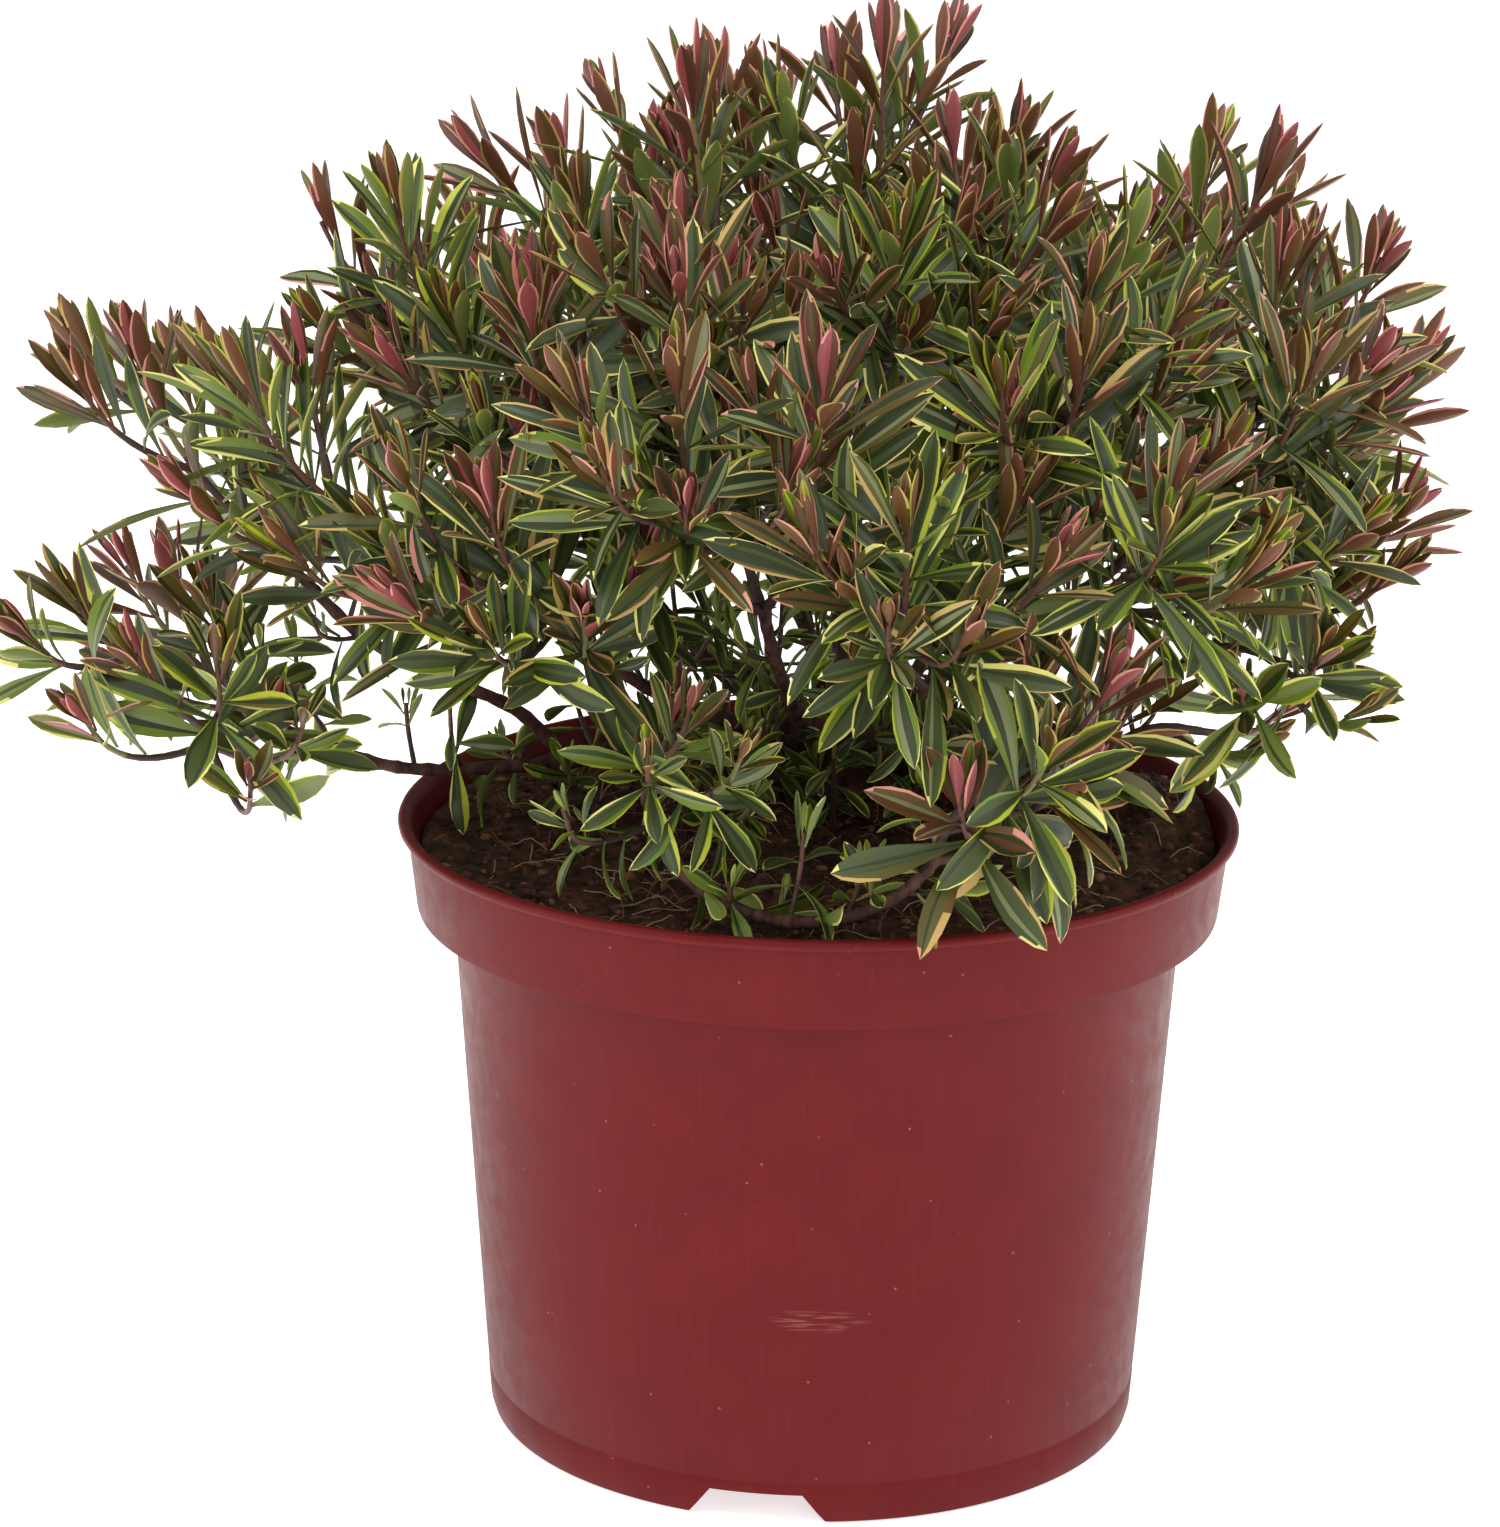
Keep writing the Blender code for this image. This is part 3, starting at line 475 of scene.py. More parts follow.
# %% [markdown]
# The plastic is a dull wine red with a satin skin. Fine streaks run up the wall
# where it left the mould, pale specks of dust cling to it, and one scuff shows
# at the front. The streaks are noise that is squeezed round the pot and stretched
# along its height, and the specks are the middles of scattered Voronoi cells.

# %% Mix the plastic's tone and streaks
PLASTIC_RED = srgb(102, 24, 25)
PLASTIC_DEEP = srgb(94, 20, 22)
PLASTIC_DUST = srgb(160, 98, 92)

plastic, shader, place = new_finish("pot_plastic_red")
tree = plastic.node_tree
link = tree.links.new
tone = add_group(plastic, mottle, place, Scale=60.0, Low=PLASTIC_DEEP, High=PLASTIC_RED, Contrast=0.3)
upright = add_node(tree, "Mapping", Scale=(1.0, 1.0, 0.03))
link(place, upright.inputs["Vector"])
streak = add_node(tree, "TexNoise", Scale=900.0, Detail=3.0)
link(upright.outputs["Vector"], streak.inputs["Vector"])
streak_mask = add_node(tree, "MapRange", From_Min=0.58, From_Max=0.8, To_Max=0.05)
link(streak.outputs["Fac"], streak_mask.inputs["Value"])
print("plastic red:", [round(value, 3) for value in PLASTIC_RED])

# %% Add the specks and the scuff
SCUFF_PLACE = (0.0014, -0.0698, 0.0442)
SCUFF_SIZE = (0.0105, 0.004, 0.0026)

specks = add_node(tree, "TexVoronoi", Scale=170.0)
link(place, specks.inputs["Vector"])
speck_mask = add_node(tree, "MapRange", From_Min=0.03, From_Max=0.06, To_Min=0.6, To_Max=0.0)
link(specks.outputs["Distance"], speck_mask.inputs["Value"])

scuff_place = add_node(tree, "Mapping", Location=SCUFF_PLACE, Scale=SCUFF_SIZE)
scuff_place.vector_type = "TEXTURE"
link(place, scuff_place.inputs["Vector"])
scuff_reach = add_node(tree, "VectorMath")
scuff_reach.operation = "LENGTH"
link(scuff_place.outputs["Vector"], scuff_reach.inputs[0])
scuff_area = add_node(tree, "MapRange", From_Min=0.55, From_Max=1.1, To_Min=1.0, To_Max=0.0)
link(scuff_reach.outputs["Value"], scuff_area.inputs["Value"])
level = add_node(tree, "Mapping", Scale=(0.05, 0.05, 1.0))
link(place, level.inputs["Vector"])
scratches = add_node(tree, "TexNoise", Scale=2600.0)
link(level.outputs["Vector"], scratches.inputs["Vector"])
scratch_mask = add_node(tree, "MapRange", From_Min=0.5, From_Max=0.62, To_Max=0.45)
link(scratches.outputs["Fac"], scratch_mask.inputs["Value"])
scuff = add_node(tree, "Math")
scuff.operation = "MULTIPLY"
link(scuff_area.outputs["Result"], scuff.inputs[0])
link(scratch_mask.outputs["Result"], scuff.inputs[1])
print("the scuff is", round(2 * SCUFF_SIZE[0] / MM), "mm wide")

# %% Paint the pot's plastic
colour = tone.outputs["Color"]
for mask in (streak_mask.outputs["Result"], speck_mask.outputs["Result"], scuff.outputs["Value"]):
    dusted = add_node(tree, "Mix")
    dusted.data_type = "RGBA"
    dusted.inputs["B"].default_value = PLASTIC_DUST
    link(mask, dusted.inputs["Factor"])
    link(colour, dusted.inputs["A"])
    colour = dusted.outputs["Result"]
link(colour, shader.inputs["Base Color"])
grainy(plastic, shader, place, Scale=240.0, Smooth=0.36, Rough=0.48, Depth=0.12, Distance=0.0003)
shader.inputs["Specular IOR Level"].default_value = 0.1
pot.data.materials.append(plastic)
dress(pot, "pot_plastic", "pot")

# %% [markdown]
# ## The soil
#
# The pot is filled with dark peat that stands a little below the lip, humps up
# round the stem and rises at one side. It is made as the pot was, from a disc whose
# rim is pulled up and then in towards the middle, so that the rings are fine enough
# to be roughened. Each vertex of the top is then lifted by its place: first the
# broad shape, then lumps, then crumbs.

# %% Measure the soil
SOIL_SIDES = 220
SOIL_RINGS = 62
SOIL_EDGE = 119.0
SOIL_RADIUS = 80.2
SOIL_BACK_RISE = 3.0
SOIL_HUMP = 5.0
SOIL_HUMP_RADIUS = 42.0
SOIL_MOUND = 8.0
SOIL_MOUND_RADIUS = 16.0
SOIL_MOUND_PLACE = (66.0, 18.0)
STEM_PLACE = (3.0, 20.0)
SOIL_BANDS = ((7.0, 1.5), (2.4, 1.1), (1.1, 0.55))


def soil_height(x, y):
    """Height of the soil's broad shape at a place in the pot."""
    back = SOIL_BACK_RISE * (0.5 + 0.5 * y / BODY_TOP_RADIUS)
    from_stem = math.hypot(x - STEM_PLACE[0], y - STEM_PLACE[1])
    hump = SOIL_HUMP * math.exp(-(from_stem / SOIL_HUMP_RADIUS) ** 2)
    from_mound = math.hypot(x - SOIL_MOUND_PLACE[0], y - SOIL_MOUND_PLACE[1])
    mound = SOIL_MOUND * math.exp(-(from_mound / SOIL_MOUND_RADIUS) ** 2)
    return SOIL_EDGE + back + hump + mound


def soil_lumps(x, y):
    """How far lumps and crumbs lift the soil at a place."""
    lift = 0.0
    for size, height in SOIL_BANDS:
        lift += height * noise.noise(Vector((x / size, y / size, size)))
    return lift


print("soil at the rim:", SOIL_EDGE, "over the stem:", round(soil_height(*STEM_PLACE), 1))

# %% Shape the soil
SOIL_GAP = 1.0
LEDGE_GAP = 0.4
COLLAR_GAP = 0.6
CALM_EDGE = 2.0

soil_rings = [
    (FLOOR_TOP + LEDGE_GAP, BASE_RADIUS - WALL - SOIL_GAP),
    (COLLAR_FOOT + WALL + LEDGE_GAP, BODY_TOP_RADIUS - WALL - SOIL_GAP),
    (COLLAR_FOOT + WALL + LEDGE_GAP, COLLAR_BOTTOM_RADIUS - WALL - COLLAR_GAP),
    (SOIL_EDGE, SOIL_RADIUS),
]
for number in range(1, SOIL_RINGS):
    soil_rings.append((SOIL_EDGE, SOIL_RADIUS * (1 - number / SOIL_RINGS)))
soil = pulled_up("soil_peat", SOIL_SIDES, soil_rings)
for vertex in soil.data.vertices:
    x, y, z = vertex.co / MM
    if z > SOIL_EDGE - 0.01:
        edge = min(1.0, (SOIL_RADIUS - math.hypot(x, y)) / CALM_EDGE)
        vertex.co.z = (soil_height(x, y) + soil_lumps(x, y) * (0.5 + 0.5 * edge)) * MM
bpy.ops.object.shade_smooth()
print("soil top:", round(max(vertex.co.z for vertex in soil.data.vertices) / MM, 1))

# %% [markdown]
# Peat is nearly black where it is damp and reddish where dry tufts lie on top. The
# crumbs and the pale root hairs on it are separate small shapes, made as arrays and
# joined, each kind apart, because thousands of objects would be slow to handle.

# %% Paint the soil
PEAT_DARK = srgb(31, 19, 14)
PEAT_DRY = srgb(90, 58, 40)

peat, shader, place = new_finish("peat")
tone = add_group(peat, mottle, place, Scale=240.0, Low=PEAT_DARK, High=PEAT_DRY, Contrast=0.22)
peat.node_tree.links.new(tone.outputs["Color"], shader.inputs["Base Color"])
grainy(peat, shader, place, Scale=1300.0, Smooth=0.85, Rough=1.0, Depth=0.9, Distance=0.0009)
shader.inputs["Specular IOR Level"].default_value = 0.25
soil.data.materials.append(peat)
dress(soil, "soil", "soil")

# %% [markdown]
# ## Joined arrays of small shapes
#
# Leaves, twigs, crumbs and hairs all repeat thousands of times. A bundle gathers
# the points and faces of one kind of shape, with a material slot for each face,
# and becomes a single mesh in the end.

# %% Bundle helper


class Bundle:
    """Points, faces and material slots of many small shapes, joined in one mesh."""

    def __init__(self):
        self.points = []
        self.faces = []
        self.slots = []
        self.places = []
        self.count = 0

    def add(self, points, faces, slots, places=None):
        """Add one shape: its points in millimetres, its faces and their slots."""
        start = self.count
        if places is not None:
            self.places.append(places)
        self.points.append(np.asarray(points, dtype=float))
        self.faces.extend([tuple(start + index for index in face) for face in faces])
        self.slots.extend(slots)
        self.count += len(points)

    def make(self, name, materials, crease):
        """Turn the bundle into an object, smooth but for edges sharper than crease."""
        mesh = bpy.data.meshes.new(name)
        mesh.from_pydata(np.concatenate(self.points) * MM, [], self.faces)
        for material in materials:
            mesh.materials.append(material)
        mesh.polygons.foreach_set("material_index", self.slots)
        if self.places:
            blade = mesh.attributes.new("blade", "FLOAT_VECTOR", "POINT")
            blade.data.foreach_set("vector", np.concatenate(self.places).ravel())
        piece = bpy.data.objects.new(name, mesh)
        bpy.context.scene.collection.objects.link(piece)
        activate(piece)
        bpy.ops.object.shade_smooth_by_angle(angle=math.radians(crease))
        return piece


def plain_finish(name, colour, smooth, rough, depth, scale=900.0, distance=0.0003):
    """A finish with one plain colour, whose gloss and bumps vary with fine grain."""
    material, shader, place = new_finish(name)
    shader.inputs["Base Color"].default_value = colour
    grainy(material, shader, place, Scale=scale, Smooth=smooth, Rough=rough, Depth=depth, Distance=distance)
    return material


print("a new bundle holds", Bundle().count, "points")

# %% Scatter crumbs on the soil
CRUMB_COUNT = 2600
CRUMB_SIZE = (0.5, 1.9)
SOIL_SEED = 7

rng = random.Random(SOIL_SEED)
bpy.ops.mesh.primitive_ico_sphere_add(subdivisions=1, radius=1.0)
ball = bpy.context.object
ball_points = np.array([vertex.co[:] for vertex in ball.data.vertices])
ball_faces = [tuple(face.vertices) for face in ball.data.polygons]
bpy.data.objects.remove(ball)


def soil_spot(margin):
    """A random place on the soil, at least a margin from the pot's wall."""
    angle = rng.uniform(0, 2 * math.pi)
    reach = (SOIL_RADIUS - margin) * math.sqrt(rng.random())
    x = reach * math.cos(angle)
    y = reach * math.sin(angle)
    return Vector((x, y, soil_height(x, y) + soil_lumps(x, y)))


crumbs = Bundle()
for _ in range(CRUMB_COUNT):
    size = rng.uniform(*CRUMB_SIZE) * rng.uniform(0.5, 1.0)
    squash = np.array([rng.uniform(0.6, 1.3), rng.uniform(0.6, 1.3), rng.uniform(0.4, 0.8)])
    lumpy = ball_points * squash * size * np.array([[rng.uniform(0.7, 1.2)] for _ in ball_points])
    spot = np.array(soil_spot(2.0))
    paint = rng.choice((0, 0, 0, 1, 1, 2))
    crumbs.add(lumpy + spot, ball_faces, [paint] * len(ball_faces))
crumb_paints = [
    plain_finish("crumb_dark", srgb(46, 29, 21), 0.85, 1.0, 0.8),
    plain_finish("crumb_brown", srgb(84, 52, 35), 0.85, 1.0, 0.8),
    plain_finish("crumb_dry", srgb(122, 82, 54), 0.85, 1.0, 0.8),
]
dress(crumbs.make("soil_crumbs", crumb_paints, 180), "soil")

# %% Lay root hairs on the soil
HAIR_COUNT = 340
HAIR_LENGTH = (4.0, 18.0)
HAIR_RADIUS = 0.12
HAIR_POINTS = 6
HAIR_LIFT = 0.3


def tube(points, radii, sides):
    """Points and faces of a closed tube along a line, with a pointed far end."""
    ring_points = []
    reference = None
    for index, place in enumerate(points):
        before = points[max(0, index - 1)]
        after = points[min(len(points) - 1, index + 1)]
        direction = (after - before).normalized()
        if reference is None:
            reference = direction.orthogonal()
        reference = (reference - direction * reference.dot(direction)).normalized()
        other = direction.cross(reference)
        for side in range(sides):
            angle = 2 * math.pi * side / sides
            offset = reference * math.cos(angle) + other * math.sin(angle)
            ring_points.append(place + offset * radii[index])
    faces = [tuple(reversed(range(sides)))]
    for ring in range(len(points) - 1):
        for side in range(sides):
            following = (side + 1) % sides
            low = ring * sides
            faces.append((low + side, low + following, low + sides + following, low + sides + side))
    last = (len(points) - 1) * sides
    faces.append(tuple(last + side for side in range(sides)))
    return np.array(ring_points), faces


hairs = Bundle()
for _ in range(HAIR_COUNT):
    spot = soil_spot(9.0)
    length = rng.uniform(*HAIR_LENGTH)
    heading = rng.uniform(0, 2 * math.pi)
    curl = rng.uniform(-1.0, 1.0)
    arch = rng.uniform(0.1, 2.0)
    line = []
    for step in range(HAIR_POINTS):
        share = step / (HAIR_POINTS - 1)
        angle = heading + curl * share
        spot = spot + Vector((math.cos(angle), math.sin(angle), 0)) * length / HAIR_POINTS
        if math.hypot(spot.x, spot.y) > SOIL_RADIUS - 1.5:
            break
        ground = soil_height(spot.x, spot.y) + soil_lumps(spot.x, spot.y)
        line.append(Vector((spot.x, spot.y, ground + HAIR_LIFT + arch * math.sin(math.pi * share))))
    if len(line) > 2:
        points, faces = tube(line, [HAIR_RADIUS] * len(line), 4)
        hairs.add(points, faces, [rng.choice((0, 0, 1))] * len(faces))
hair_paints = [
    plain_finish("root_hair_brown", srgb(120, 82, 56), 0.7, 0.9, 0.3),
    plain_finish("root_hair_pale", srgb(172, 142, 112), 0.7, 0.9, 0.3),
]
dress(hairs.make("soil_root_hairs", hair_paints, 60), "soil")

# %% [markdown]
# ## How the plant grows
#
# The solids of the model follow a rule, and the rule is written again here so that
# the fine plant grows on the same limbs. Boughs leave a short stem, branches leave
# boughs, and each tip carries one or more masses of foliage. The tables name, for
# every limb, where it leaves, where its tip is and how far it sags. An azimuth is
# 0 at the front and turns to the right, and reach is measured from the pot's axis.

# %% Tables of the boughs, branches and masses
BOUGHS = {
    "bough_left_low": (-95, 0.20, -90, 110, 143, 5),
    "bough_left_mid": (-62, 0.62, -58, 54, 170, 0),
    "bough_left_upper": (-100, 0.70, -92, 45, 188, 0),
    "bough_top_left": (-120, 1.0, -110, 22, 202, 0),
    "bough_top": (0, 1.0, 150, 14, 200, 0),
    "bough_top_right": (110, 1.0, 105, 33, 194, 0),
    "bough_right_low": (80, 0.25, 80, 66, 148, 2),
    "bough_front": (-22, 0.68, -20, 34, 178, 0),
    "bough_front_right": (30, 0.66, 30, 42, 164, 0),
    "bough_front_left": (-40, 0.18, -30, 62, 141, 0),
    "bough_back_left": (-150, 0.60, -138, 70, 168, 0),
    "bough_back": (170, 0.62, 176, 62, 178, 0),
    "bough_back_right": (128, 0.60, 136, 70, 170, 0),
}
BRANCHES = {
    "branch_left_long": ("bough_left_low", 0.45, -90, 104, 174, 5),
    "branch_right": ("bough_top_right", 0.30, 92, 66, 184, 0),
    "branch_right_side": ("bough_right_low", 0.50, 88, 80, 164, 0),
    "branch_front_right_upper": ("bough_front_right", 0.42, 48, 42, 188, 0),
    "branch_back_low": ("bough_back", 0.22, 178, 86, 148, 0),
    "branch_front_curl": ("bough_front_left", 1.0, 17, 80, 142, 17),
}
MASSES = {
    "foliage_left_low": ("bough_left_low", -85, 148, 174),
    "foliage_left_low_front": ("bough_left_low", -58, 133, 178),
    "foliage_left_mid": ("branch_left_long", -92, 137, 220),
    "foliage_left_front": ("bough_left_mid", -63, 122, 228),
    "foliage_front_left_mid": ("bough_left_mid", -37, 102, 212),
    "foliage_left_upper": ("bough_left_upper", -75, 86, 256),
    "foliage_front_left_upper": ("bough_left_upper", -42, 82, 243),
    "foliage_top_left": ("bough_top_left", -79, 27, 276),
    "foliage_top_left_rear": ("bough_top_left", -122, 64, 255),
    "foliage_top": ("bough_top", 155, 26, 279),
    "foliage_upper_centre": ("bough_top", 15, 52, 256),
    "foliage_top_right": ("bough_top_right", 90, 36, 264),
    "foliage_right_top": ("bough_top_right", 98, 88, 259),
    "foliage_right_upper": ("branch_right", 84, 108, 246),
    "foliage_right_mid": ("branch_right", 97, 119, 219),
    "foliage_right_side": ("branch_right_side", 84, 115, 197),
    "foliage_right_low": ("branch_right_side", 62, 108, 178),
    "foliage_right_lowest": ("bough_right_low", 88, 92, 152),
    "foliage_upper_left": ("bough_front", -30, 56, 255),
    "foliage_front_left": ("bough_front", -16, 97, 238),
    "foliage_front_mid": ("bough_front_right", 8, 109, 217),
    "foliage_front_right_mid": ("bough_front_right", 38, 105, 217),
    "foliage_front_right_upper": ("branch_front_right_upper", 35, 84, 237),
    "foliage_upper_right": ("branch_front_right_upper", 60, 67, 254),
    "foliage_front_left_low": ("bough_front_left", -18, 78, 172),
    "foliage_front_right_low": ("branch_front_curl", 29, 108, 183),
    "foliage_front_low": ("branch_front_curl", 14, 106, 164),
    "foliage_front_centre": ("bough_front", 0, 98, 240),
    "foliage_right_front": ("branch_right", 66, 101, 231),
    "foliage_back_left_low": ("bough_back_left", -120, 136, 186),
    "foliage_back_left": ("bough_back_left", -138, 112, 232),
    "foliage_back_upper": ("bough_back", -165, 72, 258),
    "foliage_back": ("bough_back", 178, 122, 220),
    "foliage_back_right_upper": ("bough_back", 148, 74, 256),
    "foliage_back_left_mid": ("bough_back_left", -157, 126, 200),
    "foliage_back_right": ("bough_back_right", 138, 110, 236),
    "foliage_back_right_low": ("bough_back_right", 118, 122, 190),
    "foliage_back_low": ("branch_back_low", 176, 134, 168),
}
print(len(BOUGHS), "boughs,", len(BRANCHES), "branches,", len(MASSES), "masses")

# %% [markdown]
# A limb leaves straight out of what carries it and then bends over and up to its
# tip, as a shoot that first grew outwards and then turned to the light. Where
# several things grow on from one tip, they leave side by side round it.

# %% Curves for the limbs
CLEAR = 0.35
FLANK_CLEAR = 0.3
STEM_HEIGHT = 15.0
STEM_FLARE = 10.0
STEM_WAIST = 7.6
STEM_TOP = 6.4
STEM_LOBES = 6
STEM_LOBE = 0.09
STEM_LEAN = 1.2
STEM_STEPS = 18
FLARE_TOP = 0.4
FLANK_STEP = 0.05
TOP_SPREAD = 0.52
BOUGH_RADIUS = 2.0
BRANCH_RADIUS = 1.7
LIMB_TIP_RADIUS = 1.4
LIMB_POINTS = 6
LIMB_STUB = 1.5
NEAR_ALONG = 0.6
NEAR_UP = 0.35
NEAR_SHARE = 0.3
FAR_UP = 0.45
FAR_SHARE = 0.32
FORK_OFFSET = 1.8
FORK_CLEAR = 0.2
FORK_SPREAD = 0.5


def polar(azimuth, reach, height):
    """A point from its azimuth round the pot, its reach and its height."""
    angle = math.radians(azimuth)
    return Vector((reach * math.sin(angle), -reach * math.cos(angle), height))


def bezier(start, near, far, end, count):
    """Points along a cubic curve."""
    points = []
    for index in range(count):
        t = index / (count - 1)
        s = 1.0 - t
        points.append(s * s * s * start + 3 * s * s * t * near + 3 * s * t * t * far + t * t * t * end)
    return points


print("from front to right:", [round(value, 1) for value in polar(45, 100, 0)])

# %% Shape of the stem


def stem_foot():
    """Height of the stem's flat foot, just clear of the soil under its flare."""
    highest = 0.0
    for step in range(STEM_STEPS):
        for radius in (0.0, STEM_FLARE * 0.6, STEM_FLARE * 1.15):
            angle = 2 * math.pi * step / STEM_STEPS
            x = STEM_PLACE[0] + radius * math.cos(angle)
            y = STEM_PLACE[1] + radius * math.sin(angle)
            highest = max(highest, soil_height(x, y))
    return highest + CLEAR


def stem_radius(level):
    """Radius of the stem from its flare at level 0 to its top at level 1."""
    if level < FLARE_TOP:
        return STEM_WAIST + (STEM_FLARE - STEM_WAIST) * (1 - level / FLARE_TOP) ** 2
    return STEM_WAIST + (STEM_TOP - STEM_WAIST) * (level - FLARE_TOP) / (1 - FLARE_TOP)


def stem_centre(level):
    """Middle of the stem at a level, with its slight lean."""
    return Vector((STEM_PLACE[0] + STEM_LEAN * level, STEM_PLACE[1], stem_foot() + STEM_HEIGHT * level))


print("stem foot:", round(stem_foot(), 1), "stem top:", [round(value, 1) for value in stem_centre(1.0)])

# %% Lines of the boughs


def rising_path(start, out, tip, sag, count):
    """A limb's line: straight out at first, then over and up to its tip."""
    begin = start + out * LIMB_STUB
    length = (tip - begin).length
    along = (tip - begin).normalized()
    near = begin + (out + along * NEAR_ALONG + UP * NEAR_UP).normalized() * length * NEAR_SHARE
    far = tip - (along + UP * FAR_UP).normalized() * length * FAR_SHARE
    drop = UP * sag
    return [start] + bezier(begin, near - drop, far - drop, tip, count - 1)


def bough_path(name):
    """The line of a bough that leaves the stem."""
    leave, level, azimuth, reach, height, sag = BOUGHS[name]
    level_way = polar(leave, 1.0, 0.0)
    if level < 1.0:
        lobe = 1 + STEM_LOBE * (1 - level) ** 2
        narrowing = stem_radius(level - FLANK_STEP) - stem_radius(level + FLANK_STEP)
        slope = narrowing / (2 * FLANK_STEP * STEM_HEIGHT)
        out = (level_way + UP * slope).normalized()
        start = stem_centre(level) + level_way * (stem_radius(level) * lobe) + out * (CLEAR + FLANK_CLEAR)
    else:
        out = UP.copy()
        start = stem_centre(1.0) + level_way * (STEM_TOP * TOP_SPREAD) + UP * CLEAR
    return rising_path(start, out, polar(azimuth, reach, height), sag, LIMB_POINTS)


paths = {name: bough_path(name) for name in BOUGHS}
print(len(paths), "bough lines, the first to", [round(value, 1) for value in paths["bough_left_low"][-1]])

# %% Lines of the branches


def along_path(path, share):
    """The point and direction at a share of a path's length."""
    lengths = [(b - a).length for a, b in zip(path, path[1:])]
    left = share * sum(lengths)
    index = 0
    while index < len(lengths) - 1 and left > lengths[index]:
        left -= lengths[index]
        index += 1
    a, b = path[index], path[index + 1]
    return a.lerp(b, min(1.0, left / lengths[index])), (b - a).normalized()


def fork(limb, name, path):
    """Where a twig or branch starts at a limb's tip, and the ways it leaves."""
    tip = path[-1]
    direction = (path[-1] - path[-2]).normalized()
    aims = {other: polar(*values[1:4]) for other, values in MASSES.items() if values[0] == limb}
    for other, values in BRANCHES.items():
        if values[0] == limb and values[1] >= 1.0:
            aims[other] = polar(*values[2:5])
    if len(aims) == 1:
        return tip + direction * CLEAR, direction
    across = direction.cross(UP).normalized()
    over = direction.cross(across)
    angles = {}
    for other, aim in aims.items():
        angles[other] = math.atan2((aim - tip).dot(over), (aim - tip).dot(across))
    order = sorted(angles, key=angles.get)
    step = 2 * math.pi / len(order)
    lag = [angles[other] - index * step for index, other in enumerate(order)]
    base = math.atan2(sum(map(math.sin, lag)), sum(map(math.cos, lag)))
    angle = base + order.index(name) * step
    apart = across * math.cos(angle) + over * math.sin(angle)
    start = tip + direction * (CLEAR + FORK_CLEAR) + apart * FORK_OFFSET
    return start, (direction + apart * FORK_SPREAD).normalized()


def branch_path(name, paths):
    """The line of a branch that leaves a bough's side or goes on from its tip."""
    parent, share, azimuth, reach, height, sag = BRANCHES[name]
    tip = polar(azimuth, reach, height)
    if share >= 1.0:
        start, leave = fork(parent, name, paths[parent])
        return rising_path(start, leave, tip, sag, LIMB_POINTS + 3)
    place, direction = along_path(paths[parent], share)
    aim = tip - place
    out = (aim - direction * aim.dot(direction)).normalized()
    radius = BOUGH_RADIUS + (LIMB_TIP_RADIUS - BOUGH_RADIUS) * share
    return rising_path(place + out * (radius + CLEAR), out, tip, sag, LIMB_POINTS)


for name in BRANCHES:
    paths[name] = branch_path(name, paths)
for name in ("bough_top", "branch_front_curl"):
    low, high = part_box(name)
    print(name, "tip", [round(value, 1) for value in paths[name][-1]], "node top", round(high.z / MM, 1))

# %% [markdown]
# ## Bark
#
# The young bark is thin and dark, purple brown, with a raised ring wherever a pair
# of leaves once stood, and finer wrinkles between. Each limb is a curve whose
# radius swells at the rings. The curve becomes a mesh, and a Displace modifier
# with a cloud texture wrinkles it. The model's limbs are a little stout, so the bark
# is drawn slimmer, and its root is run on into what carries it, so that no gap shows.

# %% Helpers for bark
RING_GAP = 6.5
RING_SWELL = 0.16
LIMB_STEP = 1.3
ROOT_RUN = 2.6
BARK_SLIM = 0.82
BARK_WRINKLE = 0.45
BARK_GRAIN = 0.0022


def smooth_line(path, step):
    """A finer line through a path's points, about a step apart."""
    fine = []
    ends = [path[0] * 2 - path[1], *path, path[-1] * 2 - path[-2]]
    for before, a, b, after in zip(ends, ends[1:], ends[2:], ends[3:]):
        count = max(1, round((b - a).length / step))
        for index in range(count):
            t = index / count
            straight = 2 * a + (b - before) * t
            bend = (2 * before - 5 * a + 4 * b - after) * t * t
            twist = (3 * a - before - 3 * b + after) * t * t * t
            fine.append(0.5 * (straight + bend + twist))
    return [*fine, path[-1]]


def bark_curve(name, limbs, root_radius):
    """One curve object with a tapering, ringed spline for every limb."""
    curve = bpy.data.curves.new(name, "CURVE")
    curve.dimensions = "3D"
    curve.bevel_depth = MM
    curve.bevel_resolution = 4
    curve.use_fill_caps = True
    for limb in limbs:
        path = paths[limb]
        rooted = [path[0] - (path[1] - path[0]).normalized() * ROOT_RUN, *path]
        line = smooth_line(rooted, LIMB_STEP)
        spline = curve.splines.new("POLY")
        spline.points.add(len(line) - 1)
        run = 0.0
        for index, place in enumerate(line):
            share = index / (len(line) - 1)
            run += (place - line[index - 1]).length if index else 0.0
            near_ring = abs((run / RING_GAP) % 1.0 - 0.5) * 2
            swell = 1 + RING_SWELL * max(0.0, near_ring - 0.6) / 0.4
            radius = BARK_SLIM * (root_radius + (LIMB_TIP_RADIUS - root_radius) * share)
            spline.points[index].co = (*(place * MM), 1.0)
            spline.points[index].radius = radius * swell
    piece = bpy.data.objects.new(name, curve)
    bpy.context.scene.collection.objects.link(piece)
    return piece


